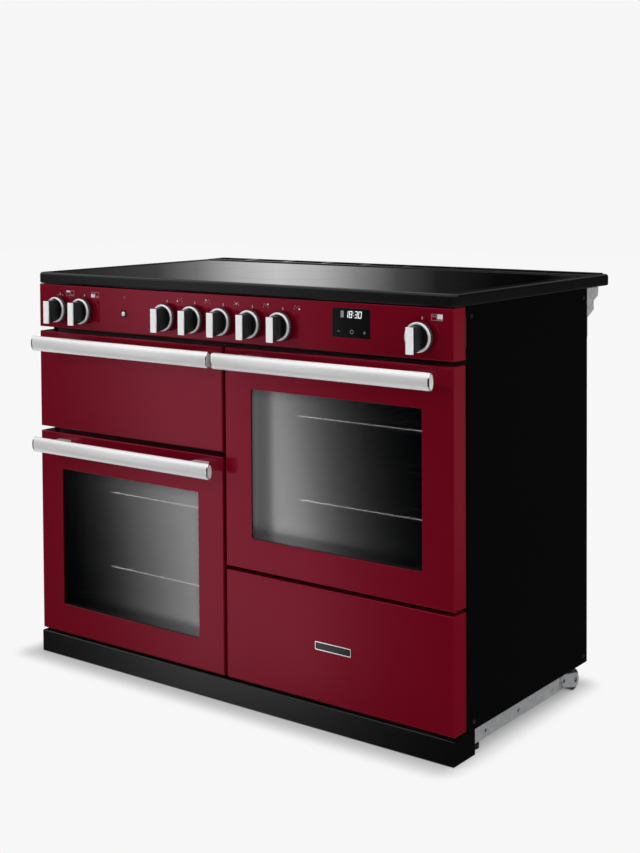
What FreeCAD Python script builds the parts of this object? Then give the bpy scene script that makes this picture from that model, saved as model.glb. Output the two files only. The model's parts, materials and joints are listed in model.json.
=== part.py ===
"""Range cooker with an induction hob, a pull-out grill, two ovens and a storage drawer.

Millimetres. X runs to the right seen from the front, Z upwards from the floor, and Y to the rear.
Depths are measured back from the front face of the doors.
"""
import FreeCAD
import Part

import math
import os

Vector = FreeCAD.Vector

# Overall size
HOB_WIDTH = 1100.0
HOB_DEPTH = 625.0
HOB_TOP = 860.0
HOB_THICKNESS = 24.5
HOB_LIP = 2.0
HOB_SIDE_LIP = 2.0
HANDLE_REACH = 47.0

# Front panels, all folded from sheet
FRONT_INSET = 3.0
COLUMN_GAP = 7.0
PANEL_DEPTH = 42.0
SHEET = 2.0
PANEL_EDGE_RADIUS = 2.5
PLINTH_TOP = 48.0
PLINTH_GAP = 6.0
HOB_GAP = 1.5
CONTROL_HEIGHT = 96.0
CONTROL_GAP = 9.5
GRILL_FRONT_HEIGHT = 215.0
GRILL_GAP = 10.5
DRAWER_FRONT_HEIGHT = 222.0
DRAWER_GAP = 7.5

# Oven doors
HINGE_DEPTH = 14.0
HINGE_RISE = 24.0
HINGE_INSET = 30.0
HINGE_PIN_RADIUS = 5.0
PIN_CLEARANCE = 0.05
LUG_WIDTH = 10.0
LUG_RADIUS = 8.0
CHEEK_THICKNESS = 3.0
CHEEK_REAR = 10.0
BRACKET_BASE = 2.0
LUG_SLOT_CLEARANCE = 2.0
SIDE_CLEARANCE = 0.4
SWING_CLEARANCE = 1.1
WINDOW_FROM_SIDE = 68.25
WINDOW_BELOW_TOP = 80.0
WINDOW_ABOVE_BOTTOM = 64.0
WINDOW_RADIUS = 4.0
GLASS_OVERLAP = 12.0
OUTER_GLASS = 4.0
INNER_GLASS = 4.0
INNER_FRAME_DEPTH = 36.0
INNER_FRAME_THICKNESS = 4.0
INNER_WINDOW_MARGIN = 6.0

# Bar handles
HANDLE_HEIGHT = 33.0
HANDLE_THICKNESS = 15.0
HANDLE_END_INSET = 22.0
HANDLE_MIDDLE_INSET = 1.5
HANDLE_BELOW_TOP = 23.5
BRACKET_WIDTH = 39.0
BRACKET_HEIGHT = 21.0
BRACKET_INSET = 36.0

# Body
BODY_FROM_REAR = 103.0
BODY_FRONT_GAP = 2.0
SIDE_PANEL = 2.0
BODY_BOTTOM = 51.0
FRAME_THICKNESS = 8.0
TRAY_SHEET = 2.0
BACK_SHEET = 2.0
STILE_HALF = 49.0
OUTER_STILE = 46.0
DRAWER_MOUTH_SIDE = 4.5
TRAY_LIP = 15.0
PANEL_CLIP_WIDTH = 30.0
PANEL_CLIP_MARGIN = 20.0

# Oven and grill cavities
CAVITY_FROM_BACK = 52.0
LINER = 3.0
OVEN_SILL = 64.0
OVEN_HEAD = 34.0
GRILL_SILL = 21.5
GRILL_HEAD = 13.5
SEAL_WIDTH = 8.0
SEAL_CLEARANCE = 0.3
SEAL_INSET = 2.0

# Shelves and side racks
SHELF_FRONT = 70.0
SHELF_FROM_BACK = 45.0
SHELF_SIDE_GAP = 12.0
SHELF_ROD_RADIUS = 3.0
SHELF_WIRE_RADIUS = 1.8
SHELF_GUARD_RADIUS = 2.5
SHELF_PITCH = 47.5
SHELF_SEAT_GAP = 0.3
SHELF_BACK_RISE = 16.0
# heights of the shelves above each oven's floor
LEFT_SHELVES = (81.0, 248.5)
RIGHT_SHELVES = (73.0, 242.0)
RACK_WIRE_RADIUS = 2.5
RACK_WALL_GAP = 4.0
RACK_FRONT = 92.0
RACK_FROM_BACK = 65.0
RACK_BOTTOM = 34.0
RACK_TOP = 300.0

# Fans, ring elements and lamps
FAN_COVER_FROM_BACK = 30.0
FAN_COVER_SHEET = 2.0
FAN_COVER_MARGIN = 25.0
FAN_RADIUS = 66.0
FAN_HUB_RADIUS = 14.0
FAN_FROM_BACK = 23.0
FAN_LENGTH = 14.0
FAN_BLADES = 12
FAN_BLADE = 2.0
FAN_DISC = 1.5
FAN_SHAFT_RADIUS = 4.0
FAN_SHAFT_HOLE = 9.0
FAN_HOLE_RADIUS = 5.0
FAN_FIRST_RING_HOLES = 6
FAN_HOLE_RINGS = 4
FAN_HOLE_STEP = 14.0
FAN_POST_RADIUS = 5.0
FAN_POST_INSET = 20.0
MOTOR_RADIUS = 32.0
MOTOR_SHAFT_DEPTH = 24.0
RING_RADIUS = 90.0
RING_TUBE = 4.0
RING_FROM_BACK = 14.0
LAMP_RADIUS = 22.0
LAMP_HEIGHT = 10.0
LAMP_DEPTH = 150.0
LAMP_OFFSET = 150.0

# Grill
RUNNER_BAR = 6.0
RUNNER_HEIGHT = 16.0
RUNNER_CLEARANCE = 0.5
RUNNER_WEB = 3.5
RUNNER_LIP = 5.5
RUNNER_FRONT = 62.0
RUNNER_FROM_BACK = 10.0
RUNNER_BAR_FROM_END = 30.0
CARRIAGE_LEDGE = 9.0
CARRIAGE_LEDGE_HEIGHT = 4.0
CARRIAGE_CROSSBAR = 6.0
GRILL_RAIL_RISE = 76.5
PAN_FRONT = 60.0
PAN_FROM_BAR_END = 30.0
PAN_SHEET = 2.0
PAN_DEPTH = 30.0
PAN_GAP = 1.0
TRIVET_MARGIN = 8.0
TRIVET_ROD_RADIUS = 2.5
TRIVET_WIRE_RADIUS = 1.5
TRIVET_PITCH = 22.0
TRIVET_HEIGHT = 20.0
ELEMENT_RADIUS = 4.0
ELEMENT_DROP = 20.0
ELEMENT_PASSES = 6
ELEMENT_INSET = 60.0
ELEMENT_PITCH = 60.0

# Storage drawer
DRAWER_BOX_SIDE = 27.0
DRAWER_BOX_RISE = 16.0
DRAWER_BOX_HEIGHT = 140.0
DRAWER_BOX_FROM_BACK = 82.0
DRAWER_SHEET = 2.0
DRAWER_RAIL_RISE = 66.0
DRAWER_MOUTH_GAP = 4.0
DIVIDER = 2.0

# Hob
RIM_SIDE = 28.0
RIM_FRONT = 15.0
GLASS_FROM_REAR = 70.0
GLASS_THICKNESS = 4.0
GLASS_BELOW_RIM = 1.0
GLASS_LEDGE = 12.0
RIM_CORNER_RADIUS = 15.0
RIM_REAR_RADIUS = 8.0
RIM_TOP_RADIUS = 6.0
RIM_BOTTOM_RADIUS = 4.0
VENT_SIDE = 14.0
VENT_FROM_REAR = 67.0
VENT_BEHIND = 5.0
VENT_FRONT_RISE = 1.0
VENT_REAR_RISE = 2.0
VENT_SEAT = 2.0
VENT_EDGE = 9.0
VENT_SLOTS = 9
VENT_END = 5.0
VENT_BAR = 15.0
VENT_LEDGE = 5.0
COIL_GAP = 0.3
COIL_WINDING = 7.0
COIL_CARRIER = 5.0
COIL_BORE = 28.0
COIL_POST_RADIUS = 14.0
HOB_TRAY_DEPTH = 40.0
# zone places: X and depth of the centre, as shares of the hob's width and depth, and the coil's radius
ZONE_PLACE_SHARES = ((-0.35, 0.245), (-0.335, 0.64), (0.0, 0.44), (0.335, 0.64), (0.35, 0.245))
ZONE_RADII = (74.0, 92.0, 120.0, 92.0, 74.0)

# Control panel
KNOB_AXIS_DROP = 54.2
KNOB_PITCH_SHARE = 77 / 1090
KNOB_FROM_SIDE = 67.0
KNOB_REAR_RADIUS = 22.0
KNOB_SKIRT_RADIUS = 29.0
KNOB_SKIRT_FRONT = 9.0
KNOB_RUNNING_GAP = 1.0
KNOB_RING_RADIUS = 26.6
KNOB_RING_WALL = 5.3
KNOB_RING_REAR = 14.0
KNOB_RING_FRONT = 17.7
KNOB_RING_ROUND_SHARE = 0.4
KNOB_DISH_FRONT = 8.0
KNOB_GRIP_WIDTH = 15.5
KNOB_GRIP_FRONT = 43.0
KNOB_GRIP_UP = 20.5
KNOB_GRIP_DOWN = 28.5
KNOB_GRIP_RADIUS = 3.0
KNOB_SHAFT_RADIUS = 3.0
KNOB_SHAFT_END = 34.0
PANEL_SHAFT_HOLE = 8.0
SWITCH_SIZE = 38.0
SWITCH_END = 36.0
SWITCH_BORE_DEPTH = 34.5
BUTTON_FROM_KNOB = 198.0
BUTTON_RADIUS = 4.8
BUTTON_FRONT = 4.0
BUTTON_TRAVEL = 3.0
BUTTON_END = 12.0
BUTTON_CLEARANCE = 0.1
BUTTON_DOME = 1.6
BEZEL_RADIUS = 8.5
BEZEL_FRONT = 1.6
BEZEL_NECK = 6.8
CLOCK_FROM_KNOB = 203.0
CLOCK_WIDTH = 88.5
CLOCK_DROP = 10.5
CLOCK_HEIGHT = 56.5
CLOCK_PROUD = 0.5
CLOCK_GLASS = 3.0
CLOCK_FIT = 0.2
CLOCK_MODULE_END = 34.0
CLOCK_MODULE_MARGIN = 4.0

# Base
PLINTH_PROUD = 2.5
PLINTH_BOTTOM = 1.0
PLINTH_RETURN = 72.5
PLINTH_FLANGE = 36.0
PLINTH_CLEARANCE = 0.5
RAIL_FROM_SIDE = 10.0
RAIL_SHEET = 2.0
RAIL_BOTTOM = 16.0
RAIL_FRONT = 6.0
RAIL_BEHIND_PIVOT = 25.0
RAIL_FLANGE = 38.0
RAIL_FOOT_FRONT = 130.0
RAIL_FOOT_BEFORE_PIVOT = 30.0
RAIL_HOLE_RADIUS = 4.0
RAIL_HOLE_HEIGHT = 29.0
RAIL_HOLES_BEFORE_PIVOT = (307.0, 182.0, 45.0)
FOOT_FROM_RAIL = 23.0
FOOT_DEPTH = 100.0
FOOT_PAD_RADIUS = 19.0
FOOT_PAD = 8.0
FOOT_STEM_RADIUS = 6.0
FOOT_STEM_TOP = 68.0
FOOT_NUT = 26.0
FOOT_NUT_HEIGHT = 14.0
FOOT_TRAY_HOLE = 9.0
ARM_PIVOT_DEPTH = 430.0
ARM_PIVOT_HEIGHT = 34.0
ARM_REACH = 52.0
ROLLER_RADIUS = 22.0
ROLLER_WIDTH = 17.0
AXLE_RADIUS = 5.0
AXLE_HEAD_RADIUS = 8.0
AXLE_HEAD = 4.0
ARM_THICKNESS = 4.0
ARM_PIVOT_RADIUS = 13.0
ARM_END_RADIUS = 14.5
ARM_CLEARANCE = 0.3
ROLLER_CLEARANCE = 0.5

# Rear
DUCT_SHEET = 1.5
DUCT_STEPS = (6.0, 6.0, 35.0, 34.0, 55.0, 56.0)
DUCT_DROPS = (100.5, 61.5, 46.5, 28.5, 18.5, 0.5)
TERMINAL_FROM_SIDE = 166.0
TERMINAL_WIDTH = 110.0
TERMINAL_HEIGHT = 80.0
TERMINAL_BOTTOM = 150.0
TERMINAL_DEPTH = 42.0
TERMINAL_SHEET = 2.0
GLAND_RADIUS = 15.0
GLAND_BORE = 9.5
GLAND_LENGTH = 18.0

# One overrun serves every cut that passes right through
CUT = 10.0
# Share of a length by which two places may differ and still count as the same
TOLERANCE = 0.0001

# Levels and depths that follow from the sizes above
REAR = HOB_DEPTH - HOB_LIP
FACE_Y = HANDLE_REACH - (HANDLE_REACH + REAR) / 2
BODY_WIDTH = HOB_WIDTH - 2 * HOB_SIDE_LIP
BODY_DEPTH = HOB_DEPTH - BODY_FROM_REAR
FRONT_WIDTH = BODY_WIDTH - 2 * FRONT_INSET
HOB_BOTTOM = HOB_TOP - HOB_THICKNESS
CONTROL_TOP = HOB_BOTTOM - HOB_GAP
CONTROL_BOTTOM = CONTROL_TOP - CONTROL_HEIGHT
ROW_TOP = CONTROL_BOTTOM - CONTROL_GAP
GRILL_BOTTOM = ROW_TOP - GRILL_FRONT_HEIGHT
LOW_DOOR_TOP = GRILL_BOTTOM - GRILL_GAP
ROW_BOTTOM = PLINTH_TOP + PLINTH_GAP
DRAWER_TOP = ROW_BOTTOM + DRAWER_FRONT_HEIGHT
HIGH_DOOR_BOTTOM = DRAWER_TOP + DRAWER_GAP
KNOB_Z = CONTROL_TOP - KNOB_AXIS_DROP
KNOB_PITCH = FRONT_WIDTH * KNOB_PITCH_SHARE
KNOB_END = FRONT_WIDTH / 2 - KNOB_FROM_SIDE
BUTTON_X = BUTTON_FROM_KNOB - KNOB_END
CLOCK_LEFT = KNOB_END - CLOCK_FROM_KNOB
CLOCK_TOP = CONTROL_TOP - CLOCK_DROP
CLOCK_BOTTOM = CLOCK_TOP - CLOCK_HEIGHT

PANEL_WIDTH = (FRONT_WIDTH - COLUMN_GAP) / 2
COLUMN_X = (FRONT_WIDTH + COLUMN_GAP) / 4
WINDOW_WIDTH = PANEL_WIDTH - 2 * WINDOW_FROM_SIDE
CAVITY_WIDTH = FRONT_WIDTH / 2 - STILE_HALF - OUTER_STILE
CAVITY_BACK = BODY_DEPTH - CAVITY_FROM_BACK
SWING_REACH = math.hypot(PANEL_DEPTH - HINGE_DEPTH, HINGE_RISE)
FRAME_FRONT = HINGE_DEPTH + SWING_REACH + SWING_CLEARANCE
FRAME_BACK = FRAME_FRONT + FRAME_THICKNESS
BODY_FRONT = PANEL_DEPTH + BODY_FRONT_GAP
BODY_INNER = BODY_WIDTH / 2 - SIDE_PANEL
BACK_FRONT = BODY_DEPTH - BACK_SHEET
TRAY_TOP = BODY_BOTTOM + TRAY_SHEET
GRILL_CAVITY_BOTTOM = GRILL_BOTTOM + GRILL_SILL
GRILL_CAVITY_TOP = ROW_TOP - GRILL_HEAD
GRILL_RAIL_Z = GRILL_BOTTOM + GRILL_RAIL_RISE
DRAWER_RAIL_Z = ROW_BOTTOM + DRAWER_RAIL_RISE
DRAWER_MOUTH_TOP = DRAWER_TOP + DRAWER_MOUTH_GAP
DRAWER_LEFT = COLUMN_GAP / 2 + DRAWER_BOX_SIDE
DRAWER_RIGHT = FRONT_WIDTH / 2 - DRAWER_BOX_SIDE
DRAWER_MOUTH_LEFT = DRAWER_LEFT - RUNNER_BAR - DRAWER_MOUTH_SIDE
DRAWER_MOUTH_RIGHT = DRAWER_RIGHT + RUNNER_BAR + DRAWER_MOUTH_SIDE
DRAWER_BOX_BACK = BODY_DEPTH - DRAWER_BOX_FROM_BACK
INNER_FRAME_BACK = INNER_FRAME_DEPTH + INNER_FRAME_THICKNESS

SHELF_BACK = CAVITY_BACK - SHELF_FROM_BACK
RACK_BACK = CAVITY_BACK - RACK_FROM_BACK
FAN_COVER_DEPTH = CAVITY_BACK - FAN_COVER_FROM_BACK
FAN_FRONT = CAVITY_BACK - FAN_FROM_BACK
RING_DEPTH = CAVITY_BACK - RING_FROM_BACK
RUNNER_BACK = CAVITY_BACK - RUNNER_FROM_BACK
RUNNER_BAR_BACK = RUNNER_BACK - RUNNER_BAR_FROM_END
PAN_BACK = RUNNER_BAR_BACK - PAN_FROM_BAR_END

GLASS_REAR = HOB_DEPTH - GLASS_FROM_REAR
VENT_WIDTH = HOB_WIDTH - 2 * VENT_SIDE
VENT_FRONT = HOB_DEPTH - VENT_FROM_REAR
VENT_REAR = HOB_DEPTH - VENT_BEHIND
VENT_PITCH = (VENT_WIDTH - 2 * VENT_END) / VENT_SLOTS

RAIL_X = BODY_WIDTH / 2 - RAIL_FROM_SIDE
RAIL_BACK = ARM_PIVOT_DEPTH + RAIL_BEHIND_PIVOT
FOOT_X = RAIL_X - FOOT_FROM_RAIL
ROLLER_DEPTH = ARM_PIVOT_DEPTH + ARM_REACH
TERMINAL_X = BODY_INNER - TERMINAL_FROM_SIDE


def y_at(depth):
    """Y of a depth behind the front face of the doors."""
    return FACE_Y + depth


def box(x0, x1, d0, d1, z0, z1):
    """Block between two X values, two depths and two heights."""
    return Part.makeBox(x1 - x0, d1 - d0, z1 - z0, Vector(x0, y_at(d0), z0))


def rod_x(x0, x1, depth, z, radius):
    return Part.makeCylinder(radius, x1 - x0, Vector(x0, y_at(depth), z), Vector(1, 0, 0))


def rod_y(x, z, d0, d1, radius):
    return Part.makeCylinder(radius, d1 - d0, Vector(x, y_at(d0), z), Vector(0, 1, 0))


def rod_z(x, depth, z0, z1, radius):
    return Part.makeCylinder(radius, z1 - z0, Vector(x, y_at(depth), z0), Vector(0, 0, 1))


def fuse(shapes):
    """One solid from pieces that overlap or touch."""
    return shapes[0].multiFuse(shapes[1:]).removeSplitter()


def cut_all(shape, tools):
    for tool in tools:
        shape = shape.cut(tool)
    return shape


def mirrored(shape):
    """Copy on the other side of the cooker's middle plane."""
    return shape.mirror(Vector(0, 0, 0), Vector(1, 0, 0))


def both_sides(shapes):
    return shapes + [mirrored(shape) for shape in shapes]


def grown(span, margin):
    return span[0] - margin, span[1] + margin


def round_edges(shape, radius, wanted):
    """Fillet the edges that the test picks."""
    return shape.makeFillet(radius, [edge for edge in shape.Edges if wanted(edge)])


def runs_along(edge, axis):
    span = edge.lastVertex().Point.sub(edge.firstVertex().Point)
    return abs(abs(span.dot(axis)) - span.Length) < span.Length * TOLERANCE


def at_depth(edge, depth):
    return all(abs(vertex.Y - y_at(depth)) < SHEET * TOLERANCE for vertex in edge.Vertexes)


def at_height(edge, z):
    return all(abs(vertex.Z - z) < SHEET * TOLERANCE for vertex in edge.Vertexes)


def folded_panel(x0, x1, z0, z1):
    """Front sheet with a return folded back along each edge, open at the rear."""
    outer = box(x0, x1, 0, PANEL_DEPTH, z0, z1)
    outer = round_edges(outer, PANEL_EDGE_RADIUS, lambda edge: at_depth(edge, 0))
    inside = box(x0 + SHEET, x1 - SHEET, SHEET, PANEL_DEPTH + CUT, z0 + SHEET, z1 - SHEET)
    return outer.cut(inside)


def rounded_plate(x0, x1, d0, d1, z0, z1, radius):
    """Plate that faces the front, with rounded corners."""
    plate = box(x0, x1, d0, d1, z0, z1)
    return round_edges(plate, radius, lambda edge: runs_along(edge, Vector(0, 1, 0)))


def bar_handle(x0, x1, z):
    """Bar of elliptical section on two brackets. The brackets end on the bar's rear face."""
    centre_depth = HANDLE_THICKNESS / 2 - HANDLE_REACH
    ellipse = Part.Ellipse(Vector(x0, y_at(centre_depth), z), HANDLE_HEIGHT / 2, HANDLE_THICKNESS / 2)
    ellipse.Axis = Vector(1, 0, 0)
    ellipse.XAxis = Vector(0, 0, 1)
    bar = Part.Face(Part.Wire(ellipse.toShape())).extrude(Vector(x1 - x0, 0, 0))
    solids = [bar]
    for x in (x0 + BRACKET_INSET, x1 - BRACKET_INSET - BRACKET_WIDTH):
        block = box(x, x + BRACKET_WIDTH, centre_depth, 0, z - BRACKET_HEIGHT / 2, z + BRACKET_HEIGHT / 2)
        solids.append(block.cut(bar))
    return solids


def oven_door(side, z0, z1):
    """The five nodes of one drop-down oven door. side is -1 for the left column and 1 for the right."""
    x_mid = side * COLUMN_X
    x0, x1 = x_mid - PANEL_WIDTH / 2, x_mid + PANEL_WIDTH / 2
    hinge_z = z0 + HINGE_RISE
    window_x = (x_mid - WINDOW_WIDTH / 2, x_mid + WINDOW_WIDTH / 2)
    window_z = (z0 + WINDOW_ABOVE_BOTTOM, z1 - WINDOW_BELOW_TOP)

    panel = folded_panel(x0, x1, z0, z1)
    panel = panel.cut(rounded_plate(*window_x, -CUT, PANEL_DEPTH, *window_z, WINDOW_RADIUS))
    lug_half = LUG_WIDTH / 2 + LUG_SLOT_CLEARANCE
    hinge_xs = (x0 + HINGE_INSET, x1 - HINGE_INSET)
    for x in hinge_xs:
        panel = panel.cut(box(x - lug_half, x + lug_half, SHEET + BRACKET_BASE, PANEL_DEPTH + CUT,
                              z0 - CUT, z0 + HINGE_RISE / 2))

    glass_x, glass_z = grown(window_x, GLASS_OVERLAP), grown(window_z, GLASS_OVERLAP)
    glass_outer = rounded_plate(*glass_x, SHEET, SHEET + OUTER_GLASS, *glass_z, WINDOW_RADIUS)
    glass_inner = box(*glass_x, INNER_FRAME_DEPTH - INNER_GLASS, INNER_FRAME_DEPTH, *glass_z)

    hole_x, hole_z = grown(window_x, -INNER_WINDOW_MARGIN), grown(window_z, -INNER_WINDOW_MARGIN)
    inner = box(x0 + SHEET, x1 - SHEET, INNER_FRAME_DEPTH, INNER_FRAME_BACK, z0 + SHEET, z1 - SHEET)
    inner = inner.cut(rounded_plate(*hole_x, 0, PANEL_DEPTH, *hole_z, WINDOW_RADIUS))
    for x in hinge_xs:
        inner = inner.cut(box(x - lug_half, x + lug_half, 0, PANEL_DEPTH, z0,
                              hinge_z + LUG_RADIUS + LUG_SLOT_CLEARANCE))

    brackets = []
    cheek_half = LUG_WIDTH / 2 + SIDE_CLEARANCE
    base_half = cheek_half + CHEEK_THICKNESS
    low, high = hinge_z - LUG_RADIUS, hinge_z + LUG_RADIUS
    for x in hinge_xs:
        base = box(x - base_half, x + base_half, SHEET, SHEET + BRACKET_BASE, low, high)
        cheeks = [box(x + offset, x + offset + CHEEK_THICKNESS, SHEET, HINGE_DEPTH + CHEEK_REAR, low, high)
                  for offset in (-base_half, cheek_half)]
        pin = rod_x(x - base_half, x + base_half, HINGE_DEPTH, hinge_z, HINGE_PIN_RADIUS)
        brackets.append(fuse([base] + cheeks + [pin]))

    return {
        "panel": [panel],
        "glass": [glass_outer, glass_inner],
        "inner": [inner],
        "hinges": brackets,
        "handle": bar_handle(*handle_span(side), z1 - HANDLE_BELOW_TOP),
    }


def handle_span(side):
    """X range of the bar handle in a column."""
    outer = FRONT_WIDTH / 2 - HANDLE_END_INSET
    inner = COLUMN_GAP / 2 + HANDLE_MIDDLE_INSET
    return (-outer, -inner) if side < 0 else (inner, outer)


def hinge_lugs(side, z0):
    """Fixed lugs on the front frame that carry the hinge pins of one door."""
    x_mid = side * COLUMN_X
    hinge_z = z0 + HINGE_RISE
    lugs = []
    for x in (x_mid - PANEL_WIDTH / 2 + HINGE_INSET, x_mid + PANEL_WIDTH / 2 - HINGE_INSET):
        x0, x1 = x - LUG_WIDTH / 2, x + LUG_WIDTH / 2
        arm = box(x0, x1, HINGE_DEPTH, FRAME_FRONT, hinge_z - LUG_RADIUS, hinge_z + LUG_RADIUS)
        nose = rod_x(x0, x1, HINGE_DEPTH, hinge_z, LUG_RADIUS)
        hole = rod_x(x0 - CUT, x1 + CUT, HINGE_DEPTH, hinge_z, HINGE_PIN_RADIUS + PIN_CLEARANCE)
        lugs.append(fuse([arm, nose]).cut(hole))
    return lugs


def cavity(side):
    """X range of an oven or grill cavity."""
    x_mid = side * (STILE_HALF + CAVITY_WIDTH / 2)
    return x_mid - CAVITY_WIDTH / 2, x_mid + CAVITY_WIDTH / 2


def oven_levels(z0, z1):
    return z0 + OVEN_SILL, z1 - OVEN_HEAD


LEFT_OVEN = oven_levels(ROW_BOTTOM, LOW_DOOR_TOP)
RIGHT_OVEN = oven_levels(HIGH_DOOR_BOTTOM, ROW_TOP)
OVENS = ((-1, LEFT_OVEN), (1, RIGHT_OVEN))
SHELF_HEIGHTS = {-1: LEFT_SHELVES, 1: RIGHT_SHELVES}


def front_frame():
    """Welded bars around the three cavities and the drawer mouth, with hinge lugs and panel clips."""
    left, right = cavity(-1), cavity(1)
    depth = (FRAME_FRONT, FRAME_BACK)
    bars = [
        box(-BODY_INNER, left[0], *depth, TRAY_TOP, HOB_BOTTOM),
        box(left[0], left[1], *depth, TRAY_TOP, LEFT_OVEN[0]),
        box(left[0], left[1], *depth, LEFT_OVEN[1], GRILL_CAVITY_BOTTOM),
        box(left[0], left[1], *depth, GRILL_CAVITY_TOP, HOB_BOTTOM),
        box(left[1], DRAWER_MOUTH_LEFT, *depth, TRAY_TOP, HOB_BOTTOM),
        box(DRAWER_MOUTH_LEFT, right[0], *depth, DRAWER_MOUTH_TOP, HOB_BOTTOM),
        box(right[0], right[1], *depth, DRAWER_MOUTH_TOP, RIGHT_OVEN[0]),
        box(right[0], right[1], *depth, RIGHT_OVEN[1], HOB_BOTTOM),
        box(right[1], BODY_INNER, *depth, DRAWER_MOUTH_TOP, HOB_BOTTOM),
        box(DRAWER_MOUTH_RIGHT, BODY_INNER, *depth, TRAY_TOP, DRAWER_MOUTH_TOP),
    ]
    clip_x = FRONT_WIDTH / 2
    clips = both_sides([box(clip_x - PANEL_CLIP_WIDTH, clip_x, PANEL_DEPTH, FRAME_FRONT,
                            CONTROL_BOTTOM + PANEL_CLIP_MARGIN, CONTROL_TOP - PANEL_CLIP_MARGIN)])
    return bars + clips + hinge_lugs(-1, ROW_BOTTOM) + hinge_lugs(1, HIGH_DOOR_BOTTOM)


def liner(side, z0, z1):
    """Cavity of five plates behind the front frame, with the fan shaft's hole in the rear plate."""
    x0, x1 = cavity(side)
    walls = [
        box(x0 - LINER, x0, FRAME_BACK, CAVITY_BACK, z0 - LINER, z1 + LINER),
        box(x1, x1 + LINER, FRAME_BACK, CAVITY_BACK, z0 - LINER, z1 + LINER),
        box(x0, x1, FRAME_BACK, CAVITY_BACK, z0 - LINER, z0),
        box(x0, x1, FRAME_BACK, CAVITY_BACK, z1, z1 + LINER),
    ]
    rear = box(x0 - LINER, x1 + LINER, CAVITY_BACK, CAVITY_BACK + LINER, z0 - LINER, z1 + LINER)
    return walls, rear


def oven_liner(side, levels):
    walls, rear = liner(side, *levels)
    x_mid = sum(cavity(side)) / 2
    hole = rod_y(x_mid, sum(levels) / 2, CAVITY_BACK - CUT, CAVITY_BACK + LINER + CUT, FAN_SHAFT_HOLE)
    return walls + [rear.cut(hole)]


def grill_liner():
    walls, rear = liner(-1, GRILL_CAVITY_BOTTOM, GRILL_CAVITY_TOP)
    return walls + [rear]


def door_seals():
    """Four strips around each oven mouth, just clear of the closed door's inner frame."""
    strips = []
    for side, (z0, z1) in OVENS:
        x0, x1 = cavity(side)
        in0, in1 = x0 - SEAL_INSET, x1 + SEAL_INSET
        low, high = z0 - SEAL_INSET, z1 + SEAL_INSET
        depth = (INNER_FRAME_BACK + SEAL_CLEARANCE, FRAME_FRONT)
        strips.append(box(in0 - SEAL_WIDTH, in0, *depth, low - SEAL_WIDTH, high + SEAL_WIDTH))
        strips.append(box(in1, in1 + SEAL_WIDTH, *depth, low - SEAL_WIDTH, high + SEAL_WIDTH))
        strips.append(box(in0, in1, *depth, low - SEAL_WIDTH, low))
        strips.append(box(in0, in1, *depth, high, high + SEAL_WIDTH))
    return strips


def wire_shelf(side, z):
    """Wire shelf: a grid of a rod frame and front-to-back wires, and the raised guard along its rear."""
    x0, x1 = cavity(side)
    x0, x1 = x0 + SHELF_SIDE_GAP, x1 - SHELF_SIDE_GAP
    wires = [rod_x(x0, x1, depth, z, SHELF_ROD_RADIUS) for depth in (SHELF_FRONT, SHELF_BACK)]
    wires += [rod_y(x, z, SHELF_FRONT, SHELF_BACK, SHELF_ROD_RADIUS) for x in (x0, x1)]
    count = int((x1 - x0) / SHELF_PITCH)
    first = (x0 + x1 - (count - 1) * SHELF_PITCH) / 2
    for index in range(count):
        wires.append(rod_y(first + index * SHELF_PITCH, z, SHELF_FRONT, SHELF_BACK, SHELF_WIRE_RADIUS))
    grid = fuse(wires)
    guard = [rod_z(x, SHELF_BACK, z, z + SHELF_BACK_RISE, SHELF_GUARD_RADIUS) for x in (x0, x1)]
    guard.append(rod_x(x0, x1, SHELF_BACK, z + SHELF_BACK_RISE, SHELF_GUARD_RADIUS))
    return [grid, fuse(guard).cut(grid)]


def side_rack(wall_x, inward, z0, heights):
    """Ladder of wires on one side wall. inward is 1 where the cavity lies to the right of the wall."""
    x = wall_x + inward * RACK_WALL_GAP
    wires = []
    for depth in (RACK_FRONT, RACK_BACK):
        wires.append(rod_z(x, depth, z0 + RACK_BOTTOM, z0 + RACK_TOP, RACK_WIRE_RADIUS))
        for z in (z0 + RACK_BOTTOM, z0 + RACK_TOP):
            peg = sorted((wall_x, x))
            wires.append(rod_x(peg[0], peg[1], depth, z, RACK_WIRE_RADIUS))
    for height in heights:
        z = z0 + height - SHELF_ROD_RADIUS - RACK_WIRE_RADIUS - SHELF_SEAT_GAP
        rung = wall_x + inward * SHELF_SIDE_GAP
        wires.append(rod_y(rung, z, RACK_FRONT, RACK_BACK, RACK_WIRE_RADIUS))
        for depth in (RACK_FRONT, RACK_BACK):
            tie = sorted((x, rung))
            wires.append(rod_x(tie[0], tie[1], depth, z, RACK_WIRE_RADIUS))
    return fuse(wires)


def oven_shelves():
    pieces = []
    for side, (z0, _) in OVENS:
        x0, x1 = cavity(side)
        heights = SHELF_HEIGHTS[side]
        for height in heights:
            pieces += wire_shelf(side, z0 + height)
        pieces += [side_rack(x0, 1, z0, heights), side_rack(x1, -1, z0, heights)]
    return pieces


def fan_centres():
    return [(sum(cavity(side)) / 2, sum(levels) / 2) for side, levels in OVENS]


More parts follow.
